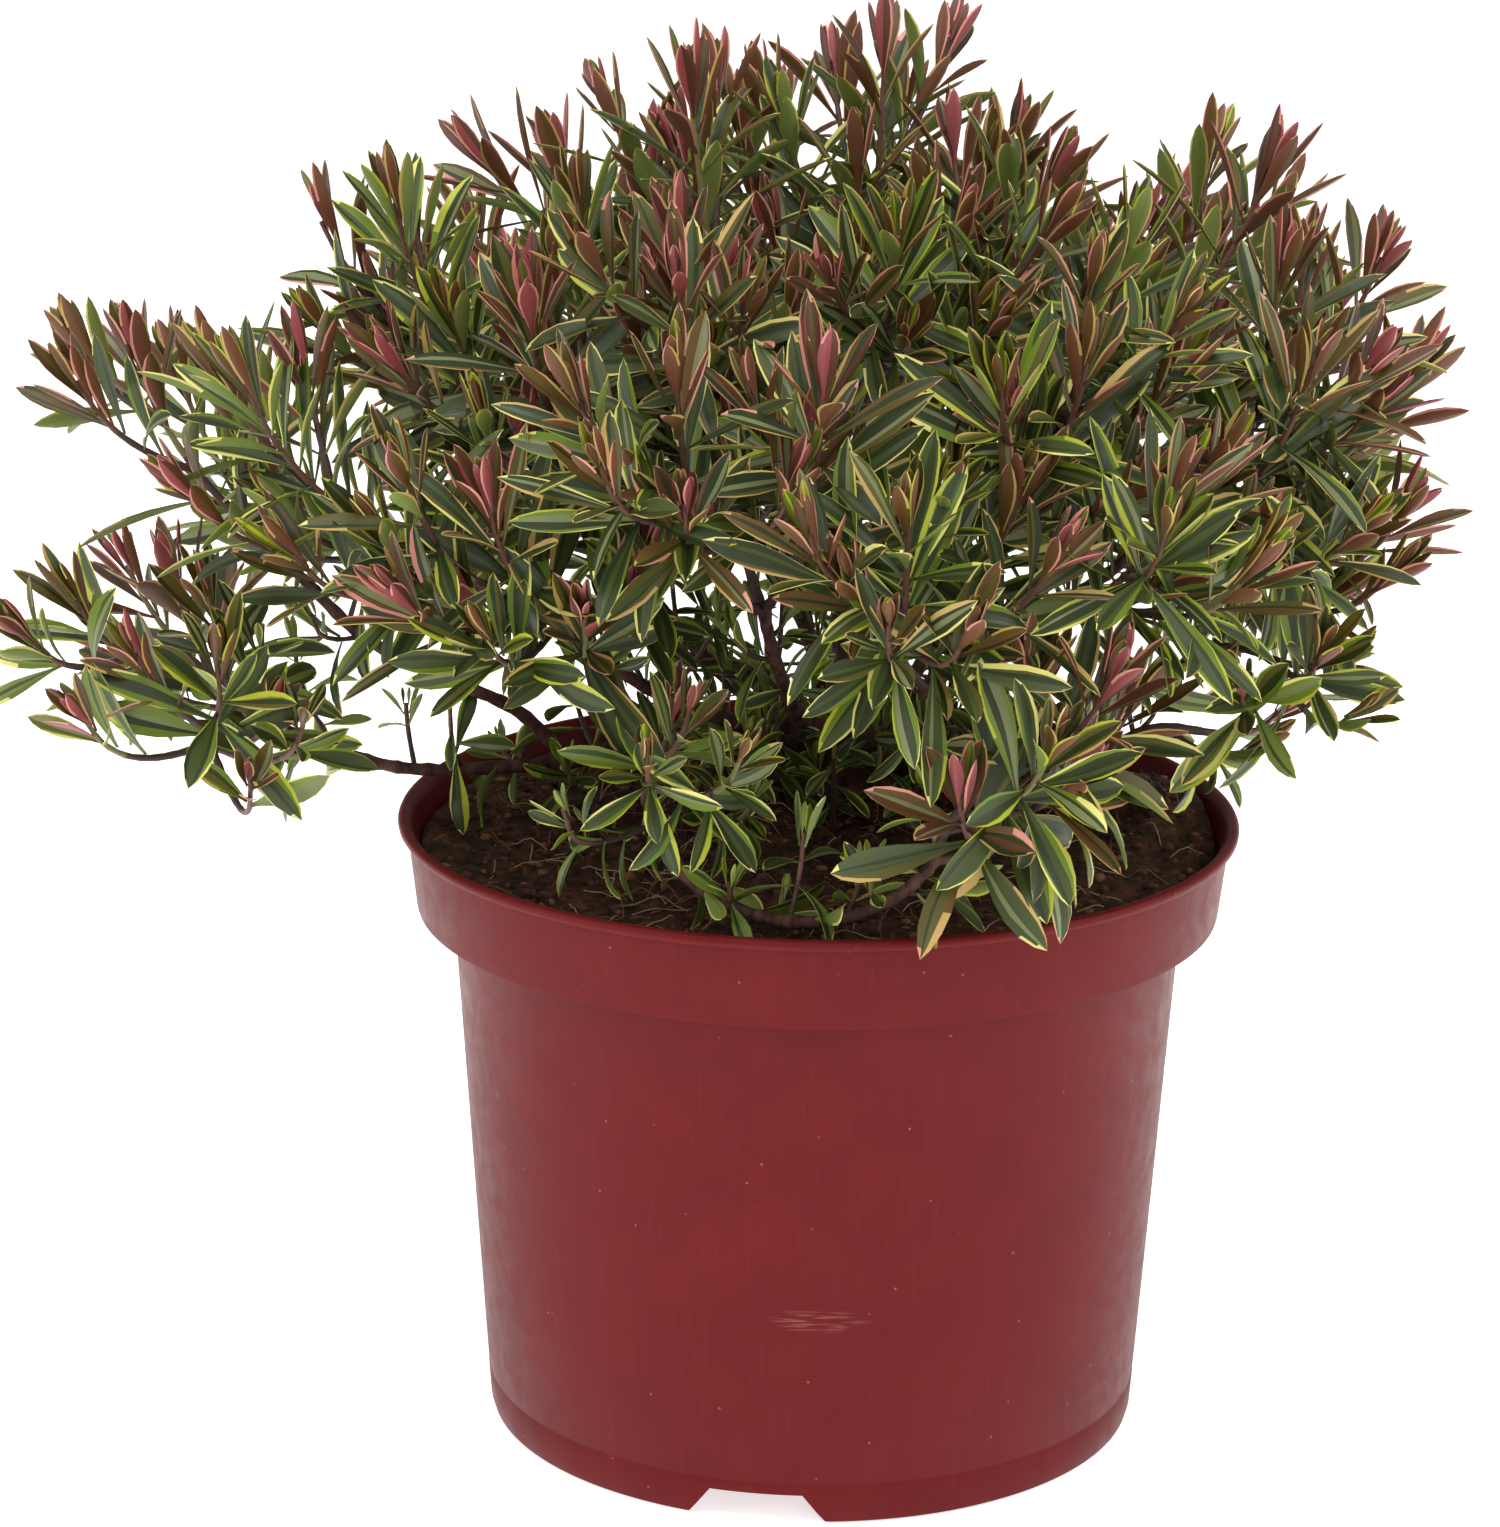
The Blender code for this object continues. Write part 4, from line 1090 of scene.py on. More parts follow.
def wrinkle(piece, depth, size):
    """Raise a mesh's surface by a cloud texture, in millimetres."""
    texture = bpy.data.textures.new(piece.name + "_wrinkles", "CLOUDS")
    texture.noise_scale = size
    texture.noise_depth = 3
    relief = piece.modifiers.new("wrinkles", "DISPLACE")
    relief.texture = texture
    relief.texture_coords = "LOCAL"
    relief.strength = depth * MM
    relief.mid_level = 0.5
    apply_modifiers(piece)


print("a ring stands on the bark every", RING_GAP, "mm")

# %% Model the boughs and branches
BARK_DARK = srgb(50, 31, 30)
BARK_LIGHT = srgb(100, 68, 60)

bark, shader, place = new_finish("bark", (1.0, 1.0, 0.45))
tone = add_group(bark, mottle, place, Scale=420.0, Low=BARK_DARK, High=BARK_LIGHT, Contrast=0.2)
bark.node_tree.links.new(tone.outputs["Color"], shader.inputs["Base Color"])
grainy(bark, shader, place, Scale=1500.0, Smooth=0.55, Rough=0.85, Depth=0.6, Distance=0.0004)
shader.inputs["Specular IOR Level"].default_value = 0.2

limb_sets = (("boughs_bark", BOUGHS, BOUGH_RADIUS), ("branches_bark", BRANCHES, BRANCH_RADIUS))
for name, limbs, radius in limb_sets:
    piece = bark_curve(name, limbs, radius)
    activate(piece)
    bpy.ops.object.convert(target="MESH")
    piece = bpy.context.object
    wrinkle(piece, BARK_WRINKLE, BARK_GRAIN)
    bpy.ops.object.shade_smooth_by_angle(angle=math.radians(50))
    piece.data.materials.clear()
    piece.data.materials.append(bark)
    dress(piece, "bark", *limbs)

# %% [markdown]
# The boughs spring from a short woody stool that flares into the peat. It starts
# as a disc that is pulled up ring by ring, then the flare is lobed where old roots
# leave it, and the whole is subdivided and wrinkled more deeply than the limbs.

# %% Model the stem
STEM_SIDES = 48
STEM_SINK = 3.0
STEM_LEVELS = (0.0, 0.08, 0.16, 0.24, 0.32, 0.4, 0.55, 0.7, 0.85, 0.95, 1.0)
STEM_WRINKLE = 1.5
STEM_GRAIN = 0.0035

foot = stem_foot()
stem_rings = [(foot - STEM_SINK, STEM_FLARE * 1.1)]
for level in STEM_LEVELS:
    stem_rings.append((foot + STEM_HEIGHT * level, stem_radius(level)))
stem_rings += [(foot + STEM_HEIGHT + 0.8, STEM_TOP * 0.8), (foot + STEM_HEIGHT + 1.2, STEM_TOP * 0.45)]
stem = pulled_up("stem_bark", STEM_SIDES, stem_rings)
for vertex in stem.data.vertices:
    level = min(1.0, max(0.0, (vertex.co.z / MM - foot) / STEM_HEIGHT))
    angle = math.atan2(vertex.co.y, vertex.co.x)
    lobe = 1 + STEM_LOBE * (1 - level) ** 2 * math.cos(STEM_LOBES * angle)
    vertex.co.x = vertex.co.x * lobe + (STEM_PLACE[0] + STEM_LEAN * level) * MM
    vertex.co.y = vertex.co.y * lobe + STEM_PLACE[1] * MM
finer = stem.modifiers.new("finer", "SUBSURF")
finer.levels = 2
finer.render_levels = 2
apply_modifiers(stem)
wrinkle(stem, STEM_WRINKLE, STEM_GRAIN)
bpy.ops.object.shade_smooth()
stem.data.materials.append(bark)
dress(stem, "bark", "stem_base")

# %% [markdown]
# ## Shoots
#
# A mass is a leading twig and a spray of side shoots. Every shoot turns up towards
# the light at its end, and shoots keep their tips apart, so that the crown fills
# evenly to one rounded outline. No side shoot outgrows its leader, and a few gaps
# where the sky shows between the arms of the plant stay open. Each gap is the
# middle and the radii of an ellipsoid that no tip and no leaf may enter.

# %% Outline and gaps of the crown
CROWN_CENTRE = (-15.0, 0.0, 150.0)
CROWN_RADII = (154.0, 142.0)
CROWN_RISE = 146.0
CROWN_DROP = 34.0
CROWN_POWER = 2.6
LEAF_HANG = 24.0
OPENINGS = {
    "between_left_arms": ((-142, -20, 196), (24, 45, 7)),
    "within_left_arms": ((-101, -25, 180), (11, 40, 9)),
    "under_left_arms": ((-142, -58, 129), (50, 66, 28)),
    "by_the_left_lip": ((-85, -20, 134), (13, 40, 9)),
    "over_left_bough": ((-72, -20, 160), (26, 80, 10)),
    "over_left_arms": ((-112, -10, 247), (13, 55, 13)),
    "right_of_the_top": ((52, 5, 277), (22, 60, 14)),
    "between_the_tops": ((-5, -5, 286), (7, 50, 8)),
    "left_of_the_top": ((-58, 0, 281), (13, 55, 11)),
    "under_right_arms": ((112, -38, 138), (30, 60, 19)),
    "front_window": ((-12, -75, 187), (17, 42, 14)),
    "under_right_side": ((124, -15, 172), (15, 60, 15)),
    "over_right_side": ((130, -5, 204), (12, 60, 7)),
}


def inside_crown(point):
    """True when a point is within the crown's outline."""
    rise = CROWN_RISE if point[2] > CROWN_CENTRE[2] else CROWN_DROP
    shares = (
        (point[0] - CROWN_CENTRE[0]) / CROWN_RADII[0],
        (point[1] - CROWN_CENTRE[1]) / CROWN_RADII[1],
        (point[2] - CROWN_CENTRE[2]) / rise,
    )
    return sum(abs(share) ** CROWN_POWER for share in shares) < 1.0


def clear_of_pot(point, margin=1.4):
    """True when a point is off the pot's wall and lip and above its soil."""
    reach = math.hypot(point[0], point[1])
    if reach > LIP_RADIUS + margin:
        return point[2] > POT_HEIGHT - LEAF_HANG
    if reach > SOIL_RADIUS - margin and point[2] < POT_HEIGHT + margin:
        return False
    return point[2] > soil_height(point[0], point[1]) + margin


def in_opening(point):
    """True when a point is in one of the gaps of the crown where sky shows."""
    for centre, radii in OPENINGS.values():
        shares = [(value - middle) / radius for value, middle, radius in zip(point, centre, radii)]
        if sum(share * share for share in shares) < 1.0:
            return True
    return False


print(len(OPENINGS), "gaps stay open in the crown")

# %% [markdown]
# A twig carries a reference direction along its line without twisting, because
# leaves stand in pairs that cross at right angles. With it, a leaf's place round
# the twig is one angle, and it stays the same angle however the twig bends.

# %% A twig and its directions


def turned(direction, reference, roll):
    """The reference turned round a twig's direction by an angle in degrees."""
    angle = math.radians(roll)
    return reference * math.cos(angle) + direction.cross(reference) * math.sin(angle)


class Twig:
    """A line with a reference direction carried along it without twisting."""

    def __init__(self, line, roll):
        self.line = line
        first = (line[1] - line[0]).normalized()
        reference = turned(first, first.orthogonal().normalized(), roll)
        self.directions = []
        self.references = []
        for index in range(len(line)):
            before = line[max(0, index - 1)]
            after = line[min(len(line) - 1, index + 1)]
            direction = (after - before).normalized()
            reference = (reference - direction * reference.dot(direction)).normalized()
            self.directions.append(direction)
            self.references.append(reference)
        self.lengths = [(b - a).length for a, b in zip(line, line[1:])]
        self.length = sum(self.lengths)

    def at(self, share):
        """The place, direction and reference at a share of the length."""
        left = share * self.length
        index = 0
        while index < len(self.lengths) - 1 and left > self.lengths[index]:
            left -= self.lengths[index]
            index += 1
        blend = min(1.0, left / self.lengths[index])
        direction = self.directions[index].lerp(self.directions[index + 1], blend).normalized()
        reference = self.references[index].lerp(self.references[index + 1], blend)
        reference = (reference - direction * reference.dot(direction)).normalized()
        return self.line[index].lerp(self.line[index + 1], blend), direction, reference


trial = Twig([UP * 0.0, UP * 10.0, UP * 20.0], 0.0)
print("a trial twig is", trial.length, "mm long")

# %% Rule for leaders and side shoots
SHOOT_SEED = 22
GOLDEN_ANGLE = 137.5
GOLDEN_SHARE = 0.618
TWIG_POINTS = 9
TWIG_ROOT = 1.5
TWIG_NEAR = 0.3
TWIG_FAR = 0.4
SHOOT_POINTS = 6
FIRST_SHOOT = 0.1
SHOOT_SPAN = 0.72
SHOOT_SPACING = 7.6
SHOOT_LENGTH = 25.0
SHOOT_SHARE = 0.42
SHOOT_SPREAD = (0.85, 1.15)
SHOOT_TRIMS = (1.0, 0.85, 0.7, 0.55)
SHOOT_TRIES = 56
SHOOT_OUT = 0.62
SHOOT_RISE = 0.42
SHOOT_BEND = 0.35
OUTWARD_PULL = 0.15
SHOOT_CLEAR = 8.0
TIP_SPACING = 15.5
TIP_MARGIN = 12.0
TIP_LEAVES = 2.0
OVER_APEX = 1.0
UPTURN = {"left": 1.5, "right": 1.4, "front": 1.5, "top": 0.9, "upper": 1.1, "back": 1.1}


def upturn(name):
    """How strongly the shoots of a mass turn up, by the side that it is on."""
    return UPTURN[name.split("_")[1]]


def leading_twig(name, rng):
    """The main twig of a mass, run on from its limb's tip."""
    limb, azimuth, reach, height = MASSES[name]
    apex = polar(azimuth, reach, height - TIP_LEAVES)
    start, leave = fork(limb, name, paths[limb])
    length = (apex - start).length
    along = (apex - start).normalized()
    near = start + leave * length * TWIG_NEAR
    far = apex - (along + UP * upturn(name)).normalized() * length * TWIG_FAR
    root = paths[limb][-1] - (paths[limb][-1] - paths[limb][-2]).normalized() * TWIG_ROOT
    return Twig([root] + bezier(start, near, far, apex, TWIG_POINTS), rng.uniform(0, 90))


def side_shoots(name, leader, tips, rng):
    """Side shoots of a leader, whose tips keep apart from all earlier tips."""
    shoots = []
    apex = leader.line[-1]
    outward = Vector((apex.x, apex.y, 0)).normalized()
    wanted = round(leader.length * SHOOT_SPAN / SHOOT_SPACING)
    roll = rng.uniform(0, 360)
    for attempt in range(SHOOT_TRIES):
        if len(shoots) >= wanted:
            break
        share = FIRST_SHOOT + SHOOT_SPAN * ((attempt * GOLDEN_SHARE) % 1.0)
        place, direction, reference = leader.at(share)
        roll += GOLDEN_ANGLE
        side = turned(direction, reference, roll)
        out = (direction * 0.55 + side + UP * 0.3 + outward * OUTWARD_PULL).normalized()
        full = SHOOT_LENGTH + SHOOT_SHARE * (1 - share) * leader.length
        length = full * rng.uniform(*SHOOT_SPREAD)
        length *= SHOOT_TRIMS[attempt * len(SHOOT_TRIMS) // SHOOT_TRIES]
        rise = out * 0.5 + UP * 0.8 * upturn(name) + outward * OUTWARD_PULL + direction * 0.2
        rise.normalize()
        tip = place + out * length * SHOOT_OUT + rise * length * SHOOT_RISE
        if not inside_crown(tip + rise * TIP_MARGIN) or not clear_of_pot(tip, SHOOT_CLEAR):
            continue
        if tip.z > apex.z + OVER_APEX or in_opening(tip):
            continue
        if any((tip - other).length < TIP_SPACING for other in tips):
            continue
        near = place + out * length * SHOOT_BEND
        far = tip - rise * length * SHOOT_BEND
        shoots.append(Twig(bezier(place, near, far, tip, SHOOT_POINTS), rng.uniform(0, 90)))
        tips.append(tip)
    return shoots


print("shoots keep their tips", TIP_SPACING, "mm apart")

# %% Grow the leaders and side shoots
rng = random.Random(SHOOT_SEED)
leaders = {name: leading_twig(name, rng) for name in MASSES}
tips = [leader.line[-1] for leader in leaders.values()]
sprays = {name: side_shoots(name, leader, tips, rng) for name, leader in leaders.items()}
print("side shoots:", sum(len(shoots) for shoots in sprays.values()), "tips:", len(tips))

# %% [markdown]
# ## Leaf colours
#
# The leaves are variegated: a dark grey-green middle, streaked beside the midrib,
# and a cream, yellow or pink rim. Each tint is a plain colour in a slot of its own,
# and the leaf's faces are dealt to the slots, so that the tints have hard, irregular
# borders as on the real leaf. A leaf's tints go by its age. The very youngest are
# lime with pink rims, the next are mauve, most of all at the top of the crown, and
# the old ones low on the plant fade to pale green. Fine grooves along the blade
# vary the gloss of every tint.
# On some grown leaves the streak beside the midrib is pale grey-green, a painted sheen that stands in for
# the white surround reflected on the blade.

# %% Mix the leaf paints
LEAF_TINTS = {
    "deep_green": (37, 49, 13),
    "slate_green": (58, 70, 27),
    # silver_green is a painted sheen: a pale grey-green for the white surround reflected on the blade.
    "silver_green": (112, 118, 78),
    "olive": (80, 75, 24),
    "bronze": (92, 66, 28),
    "mauve_brown": (86, 49, 33),
    "rose_mauve": (140, 66, 68),
    "pink_rim": (208, 138, 122),
    "tan_rim": (184, 154, 88),
    "cream": (214, 206, 118),
    "yellow_lime": (166, 170, 44),
    "fresh_green": (96, 116, 26),
    "pale_green": (108, 124, 56),
    "pale_under": (118, 131, 66),
    "mauve_under": (108, 66, 44),
}
LEAF_SMOOTH = 0.3
LEAF_ROUGH = 0.6
LEAF_SHINE = 0.38
LEAF_GRAIN = (1.5, 0.09, 1.0)
TINT_SLOTS = {name: number for number, name in enumerate(LEAF_TINTS)}
leaf_paints = []
for name, tint in LEAF_TINTS.items():
    paint, shader, place = new_finish("leaf_" + name, LEAF_GRAIN, "blade")
    shader.inputs["Base Color"].default_value = srgb(*tint)
    shader.inputs["Specular IOR Level"].default_value = LEAF_SHINE
    grainy(paint, shader, place, Scale=1.0, Smooth=LEAF_SMOOTH, Rough=LEAF_ROUGH, Depth=0.5, Distance=0.0002)
    leaf_paints.append(paint)

# The tints of a leaf's middle, its streak, its band, both rims and its underside,
# from the youngest leaf of a shoot to the oldest.
FAMILIES = {
    "mauve": (
        ("fresh_green", "olive", "rose_mauve", "pink_rim", "pink_rim", "rose_mauve"),
        ("mauve_brown", "olive", "rose_mauve", "pink_rim", "pink_rim", "rose_mauve"),
        ("mauve_brown", "deep_green", "bronze", "pink_rim", "tan_rim", "mauve_under"),
        ("deep_green", "olive", "bronze", "tan_rim", "pink_rim", "mauve_under"),
        ("deep_green", "slate_green", "olive", "cream", "tan_rim", "pale_under"),
    ),
    "bronze": (
        ("fresh_green", "yellow_lime", "bronze", "pink_rim", "tan_rim", "mauve_under"),
        ("mauve_brown", "olive", "bronze", "tan_rim", "pink_rim", "mauve_under"),
        ("deep_green", "bronze", "olive", "tan_rim", "pink_rim", "mauve_under"),
        ("deep_green", "slate_green", "olive", "tan_rim", "cream", "pale_under"),
        ("deep_green", "slate_green", "fresh_green", "yellow_lime", "cream", "pale_under"),
    ),
    "green": (
        ("fresh_green", "yellow_lime", "olive", "tan_rim", "cream", "mauve_under"),
        ("olive", "deep_green", "bronze", "tan_rim", "yellow_lime", "mauve_under"),
        ("deep_green", "olive", "fresh_green", "yellow_lime", "tan_rim", "pale_under"),
        ("deep_green", "slate_green", "fresh_green", "yellow_lime", "cream", "pale_under"),
        ("deep_green", "slate_green", "fresh_green", "yellow_lime", "cream", "pale_under"),
    ),
    "low": (
        ("olive", "fresh_green", "bronze", "pink_rim", "tan_rim", "rose_mauve"),
        ("mauve_brown", "olive", "bronze", "pink_rim", "tan_rim", "rose_mauve"),
        ("olive", "deep_green", "fresh_green", "tan_rim", "cream", "pale_under"),
        ("slate_green", "pale_green", "fresh_green", "cream", "tan_rim", "pale_under"),
        ("pale_green", "slate_green", "fresh_green", "cream", "yellow_lime", "pale_under"),
    ),
    "fresh": (
        ("fresh_green", "fresh_green", "yellow_lime", "yellow_lime", "yellow_lime", "pale_under"),
        ("fresh_green", "pale_green", "fresh_green", "yellow_lime", "cream", "pale_under"),
        ("deep_green", "fresh_green", "fresh_green", "yellow_lime", "yellow_lime", "pale_under"),
        ("deep_green", "slate_green", "fresh_green", "yellow_lime", "cream", "pale_under"),
        ("deep_green", "slate_green", "fresh_green", "yellow_lime", "cream", "pale_under"),
    ),
}
# The darker tint that the lee half of an underside often takes: painted shade, not a colour of the leaf.
PAINTED_SHADE_TINTS = {"rose_mauve": "mauve_brown", "mauve_under": "bronze", "pale_under": "pale_green"}
print(len(leaf_paints), "leaf paints in", len(FAMILIES), "families")

# %% [markdown]
# ## One leaf
#
# A leaf is a lance-shaped blade, closed and very thin, channelled along its middle
# and curling outwards as it ages. It is drawn as a few rows of points from root to
# tip. Seven points across the top of each row leave six strips: a rim, a band of
# paler green, the dark middle, a streak beside the midrib, another edge and the
# other rim. Three points below make the underside, with a hem in the rim's tint
# along each side. The borders wave from row to row, which gives the variegation
# its ragged look, and the band swells and tapers like a flame.
# The lee half of the underside often takes a darker tint than the other half: painted shade, as on the side
# of a keel turned from the light.

# %% Faces of a leaf
LEAF_ROWS = ((0.0, 0.16), (0.12, 0.24), (0.29, 0.54), (0.47, 0.86), (0.63, 1.0), (0.79, 0.86), (0.92, 0.48))
ROW_POINTS = 10


def leaf_faces():
    """Faces of a leaf and the part of the blade that each belongs to."""
    faces = []
    parts = []
    across = ("rim_a", "band", "middle", "streak", "edge", "rim_b")
    below = ("hem_b", "under", "lee", "hem_a")
    last = (len(LEAF_ROWS) - 1) * ROW_POINTS
    tip = last + ROW_POINTS
    for row in range(len(LEAF_ROWS) - 1):
        low = row * ROW_POINTS
        high = low + ROW_POINTS
        for column, part in enumerate(across):
            faces.append((low + column, low + column + 1, high + column + 1, high + column))
            parts.append(part)
        for column, part in enumerate(below, 6):
            after = (column + 1) % ROW_POINTS
            faces.append((low + column, low + after, high + after, high + column))
            parts.append(part)
    for column, part in enumerate(across):
        faces.append((last + column, last + column + 1, tip))
        parts.append({"band": "rim_a", "edge": "rim_b"}.get(part, part))
    for column, part in enumerate(below, 6):
        faces.append((last + column, last + (column + 1) % ROW_POINTS, tip))
        parts.append(part)
    faces.append(tuple(reversed(range(ROW_POINTS))))
    parts.append("middle")
    return faces, parts


LEAF_FACES, LEAF_PARTS = leaf_faces()
LEAF_LEVELS = [min(face) // ROW_POINTS for face in LEAF_FACES]
print("one leaf:", len(LEAF_FACES), "faces")

# %% Points of a leaf
LEAF_THICKNESS = 0.5
PATCH_WIDTH = (0.1, 0.62)
MIDRIB_SHIFT = 0.3
VEIN_PLACE = (0.3, 0.8)
RAGGED = 0.05
WAVE = 0.13
WAVE_COUNT = 6
WIDEST_RIM = 0.98
HEM = 0.78
HEM_DEPTH = 0.13
ROW_SHARES = np.array([share for share, _ in LEAF_ROWS] + [1.0])
ROW_WIDTHS = np.array([width for _, width in LEAF_ROWS])


def leaf_points(root, along, face, length, width, curl, fold, rims, rng):
    """Points of one leaf that leaves its root along a direction, face up."""
    across = along.cross(face)
    patch = rng.uniform(*PATCH_WIDTH)
    lean = rng.uniform(-MIDRIB_SHIFT, MIDRIB_SHIFT)
    vein = rng.uniform(*VEIN_PLACE)
    phases = (rng.uniform(0, 6.3), rng.uniform(0, 6.3))
    bends = math.radians(curl) * ROW_SHARES ** 1.5
    steps = np.diff(ROW_SHARES, prepend=0.0) * length
    ahead = np.cumsum(steps * np.cos(bends))
    sink = np.cumsum(steps * np.sin(bends))
    along = np.array(along)
    face = np.array(face)
    across = np.array(across)
    points = []
    for row, scale in enumerate(ROW_WIDTHS):
        middle = np.array(root) + along * ahead[row] - face * sink[row]
        normal = face * math.cos(bends[row]) + along * math.sin(bends[row])
        half = width * 0.5 * scale
        wave_a = WAVE * math.sin(phases[0] + WAVE_COUNT * ROW_SHARES[row]) + rng.uniform(-RAGGED, RAGGED)
        wave_b = WAVE * math.sin(phases[1] + WAVE_COUNT * ROW_SHARES[row]) + rng.uniform(-RAGGED, RAGGED)
        rim_a = min(WIDEST_RIM, rims[0] + wave_a)
        rim_b = min(WIDEST_RIM, rims[1] + wave_b)
        swell = math.sin(math.pi * ROW_SHARES[row])
        band = rim_a * (1 - patch * swell)
        midrib = lean * swell
        edge = midrib + (rim_b - midrib) * vein
        for offset in (-1.0, -rim_a, -band, midrib, edge, rim_b, 1.0):
            points.append(middle + across * (offset * half) + normal * (fold * half * offset * offset))
        hem_drop = normal * (fold * half * HEM * HEM - HEM_DEPTH)
        points.append(middle + across * (HEM * half) + hem_drop)
        points.append(middle - normal * LEAF_THICKNESS * (0.4 + 0.6 * scale))
        points.append(middle - across * (HEM * half) + hem_drop)
    points.append(np.array(root) + along * ahead[-1] - face * sink[-1])
    return points


def blade_places(length, width, rng):
    """Where each point of a leaf lies on its blade, in millimetres, for the fine grooves."""
    one_row = np.append(np.linspace(-0.5, 0.5, ROW_POINTS - 3), (HEM / 2, 0.0, -HEM / 2))
    across = np.tile(one_row, len(LEAF_ROWS))
    along = np.repeat(ROW_SHARES[:-1], ROW_POINTS)
    places = np.zeros((len(across) + 1, 3))
    places[:-1, 0] = across * width
    places[:-1, 1] = along * length
    places[-1, 1] = length
    places[:, 2] = rng.uniform(0, 400)
    return places


print("a leaf is widest", ROW_SHARES[ROW_WIDTHS.argmax()], "of the way up")

# %% [markdown]
# ## Leaves on the shoots
#
# Pairs of leaves climb each shoot, each pair turned a quarter from the last. At the
# tip they are short, upright and folded together, and down the shoot they grow
# longer, lean out and curl. Near the crown's skirt the old leaves hang.

# %% Deal the tints to a leaf
SKIRT = 185.0
SKIRT_DEPTH = 45.0
MAUVE_FROM = 150.0
MAUVE_FULL = 270.0
MAUVE_CHANCE = (0.15, 0.45)
BRONZE_CHANCE = (0.5, 0.4)
SWAPPED_RIMS = 0.35
SWAPPED_MIDDLE = 0.3
PAINTED_SHEEN_SHARE = 0.3
PAINTED_SHADE_CHANCE = 0.6
RIM_STARTS = (0, 1, 1, 2, 3, 4, 5, 6)
RIM_BESIDE = {"rim_a": "band", "rim_b": "edge", "hem_a": "lee", "hem_b": "under"}


def lowness(height):
    """How far down the crown's skirt a height is, from 0 to 1."""
    return min(1.0, max(0.0, (SKIRT - height) / SKIRT_DEPTH))


def pick_family(tip, rng):
    """The colour family of a shoot: mauve towards the top, green towards the foot."""
    if rng.random() < lowness(tip.z):
        return "low"
    high = min(1.0, max(0.0, (tip.z - MAUVE_FROM) / (MAUVE_FULL - MAUVE_FROM)))
    draw = rng.random()
    if draw < MAUVE_CHANCE[0] + MAUVE_CHANCE[1] * high:
        return "mauve"
    if draw < BRONZE_CHANCE[0] + BRONZE_CHANCE[1] * high:
        return "bronze"
    return "green"


def leaf_slots(family, age, rng):
    """The slot of every face of a leaf, by its family and age."""
    middle, streak, band, rim_a, rim_b, under = FAMILIES[family][age]
    if rng.random() < SWAPPED_RIMS:
        rim_a, rim_b = rim_b, rim_a
    if rng.random() < SWAPPED_MIDDLE:
        middle, streak = streak, middle
    # Some grown leaves take a painted sheen on the streak beside the midrib.
    if age > 0 and rng.random() < PAINTED_SHEEN_SHARE:
        streak = "silver_green"
    tints = {"middle": middle, "streak": streak, "band": band, "rim_a": rim_a, "rim_b": rim_b}
    tints["edge"] = rng.choice((band, middle, middle))
    tints["under"] = under
    # The lee half often takes the darker tint, as painted shade.
    tints["lee"] = PAINTED_SHADE_TINTS[under] if rng.random() < PAINTED_SHADE_CHANCE else under
    tints["hem_a"] = rim_a
    tints["hem_b"] = rim_b
    starts = rng.choice(RIM_STARTS), rng.choice(RIM_STARTS)
    plain_to = {"rim_a": starts[0], "hem_a": starts[0], "rim_b": starts[1], "hem_b": starts[1]}
    slots = []
    for part, level in zip(LEAF_PARTS, LEAF_LEVELS):
        if level < plain_to.get(part, 0):
            part = RIM_BESIDE[part]
        slots.append(TINT_SLOTS[tints[part]])
    return slots


print("leaves below", SKIRT, "mm start to fade and hang")

# %% Set a pair of leaves on a twig
LEAF_LENGTH = 27.0
LEAF_WIDTH = 5.1
LENGTH_SPREAD = (0.84, 1.12)
WIDTH_SPREAD = (0.86, 1.12)
TIP_LEAF = 0.4
LEAN_TIP = 8.0
LEAN_FULL = 55.0
LEAN_SPREAD = 9
PAIR_TWIST = 12
CURL_TIP = -14
CURL_GROWN = 33
CURL_LOW = 26
CURL_SPREAD = (-12, 13)
FOLD = (0.12, 0.3)
STALK = 0.6
LEAF_TRIMS = (1.0, 0.8, 0.62)
BROAD_RIMS = 0.25
WIDE_RIM = (0.45, 0.68)
FINE_RIM = (0.78, 0.97)
OLDEST = 4
HANG = 1.0
LOW_BREADTH = 0.4


def room_for(points):
    """True when a leaf's tip and middle are in the crown, off the pot and in no gap."""
    tip = points[-1]
    middle = points[len(points) // 2]
    if not inside_crown(tip) or in_opening(tip) or in_opening(middle):
        return False
    return clear_of_pot(tip) and clear_of_pot(middle)


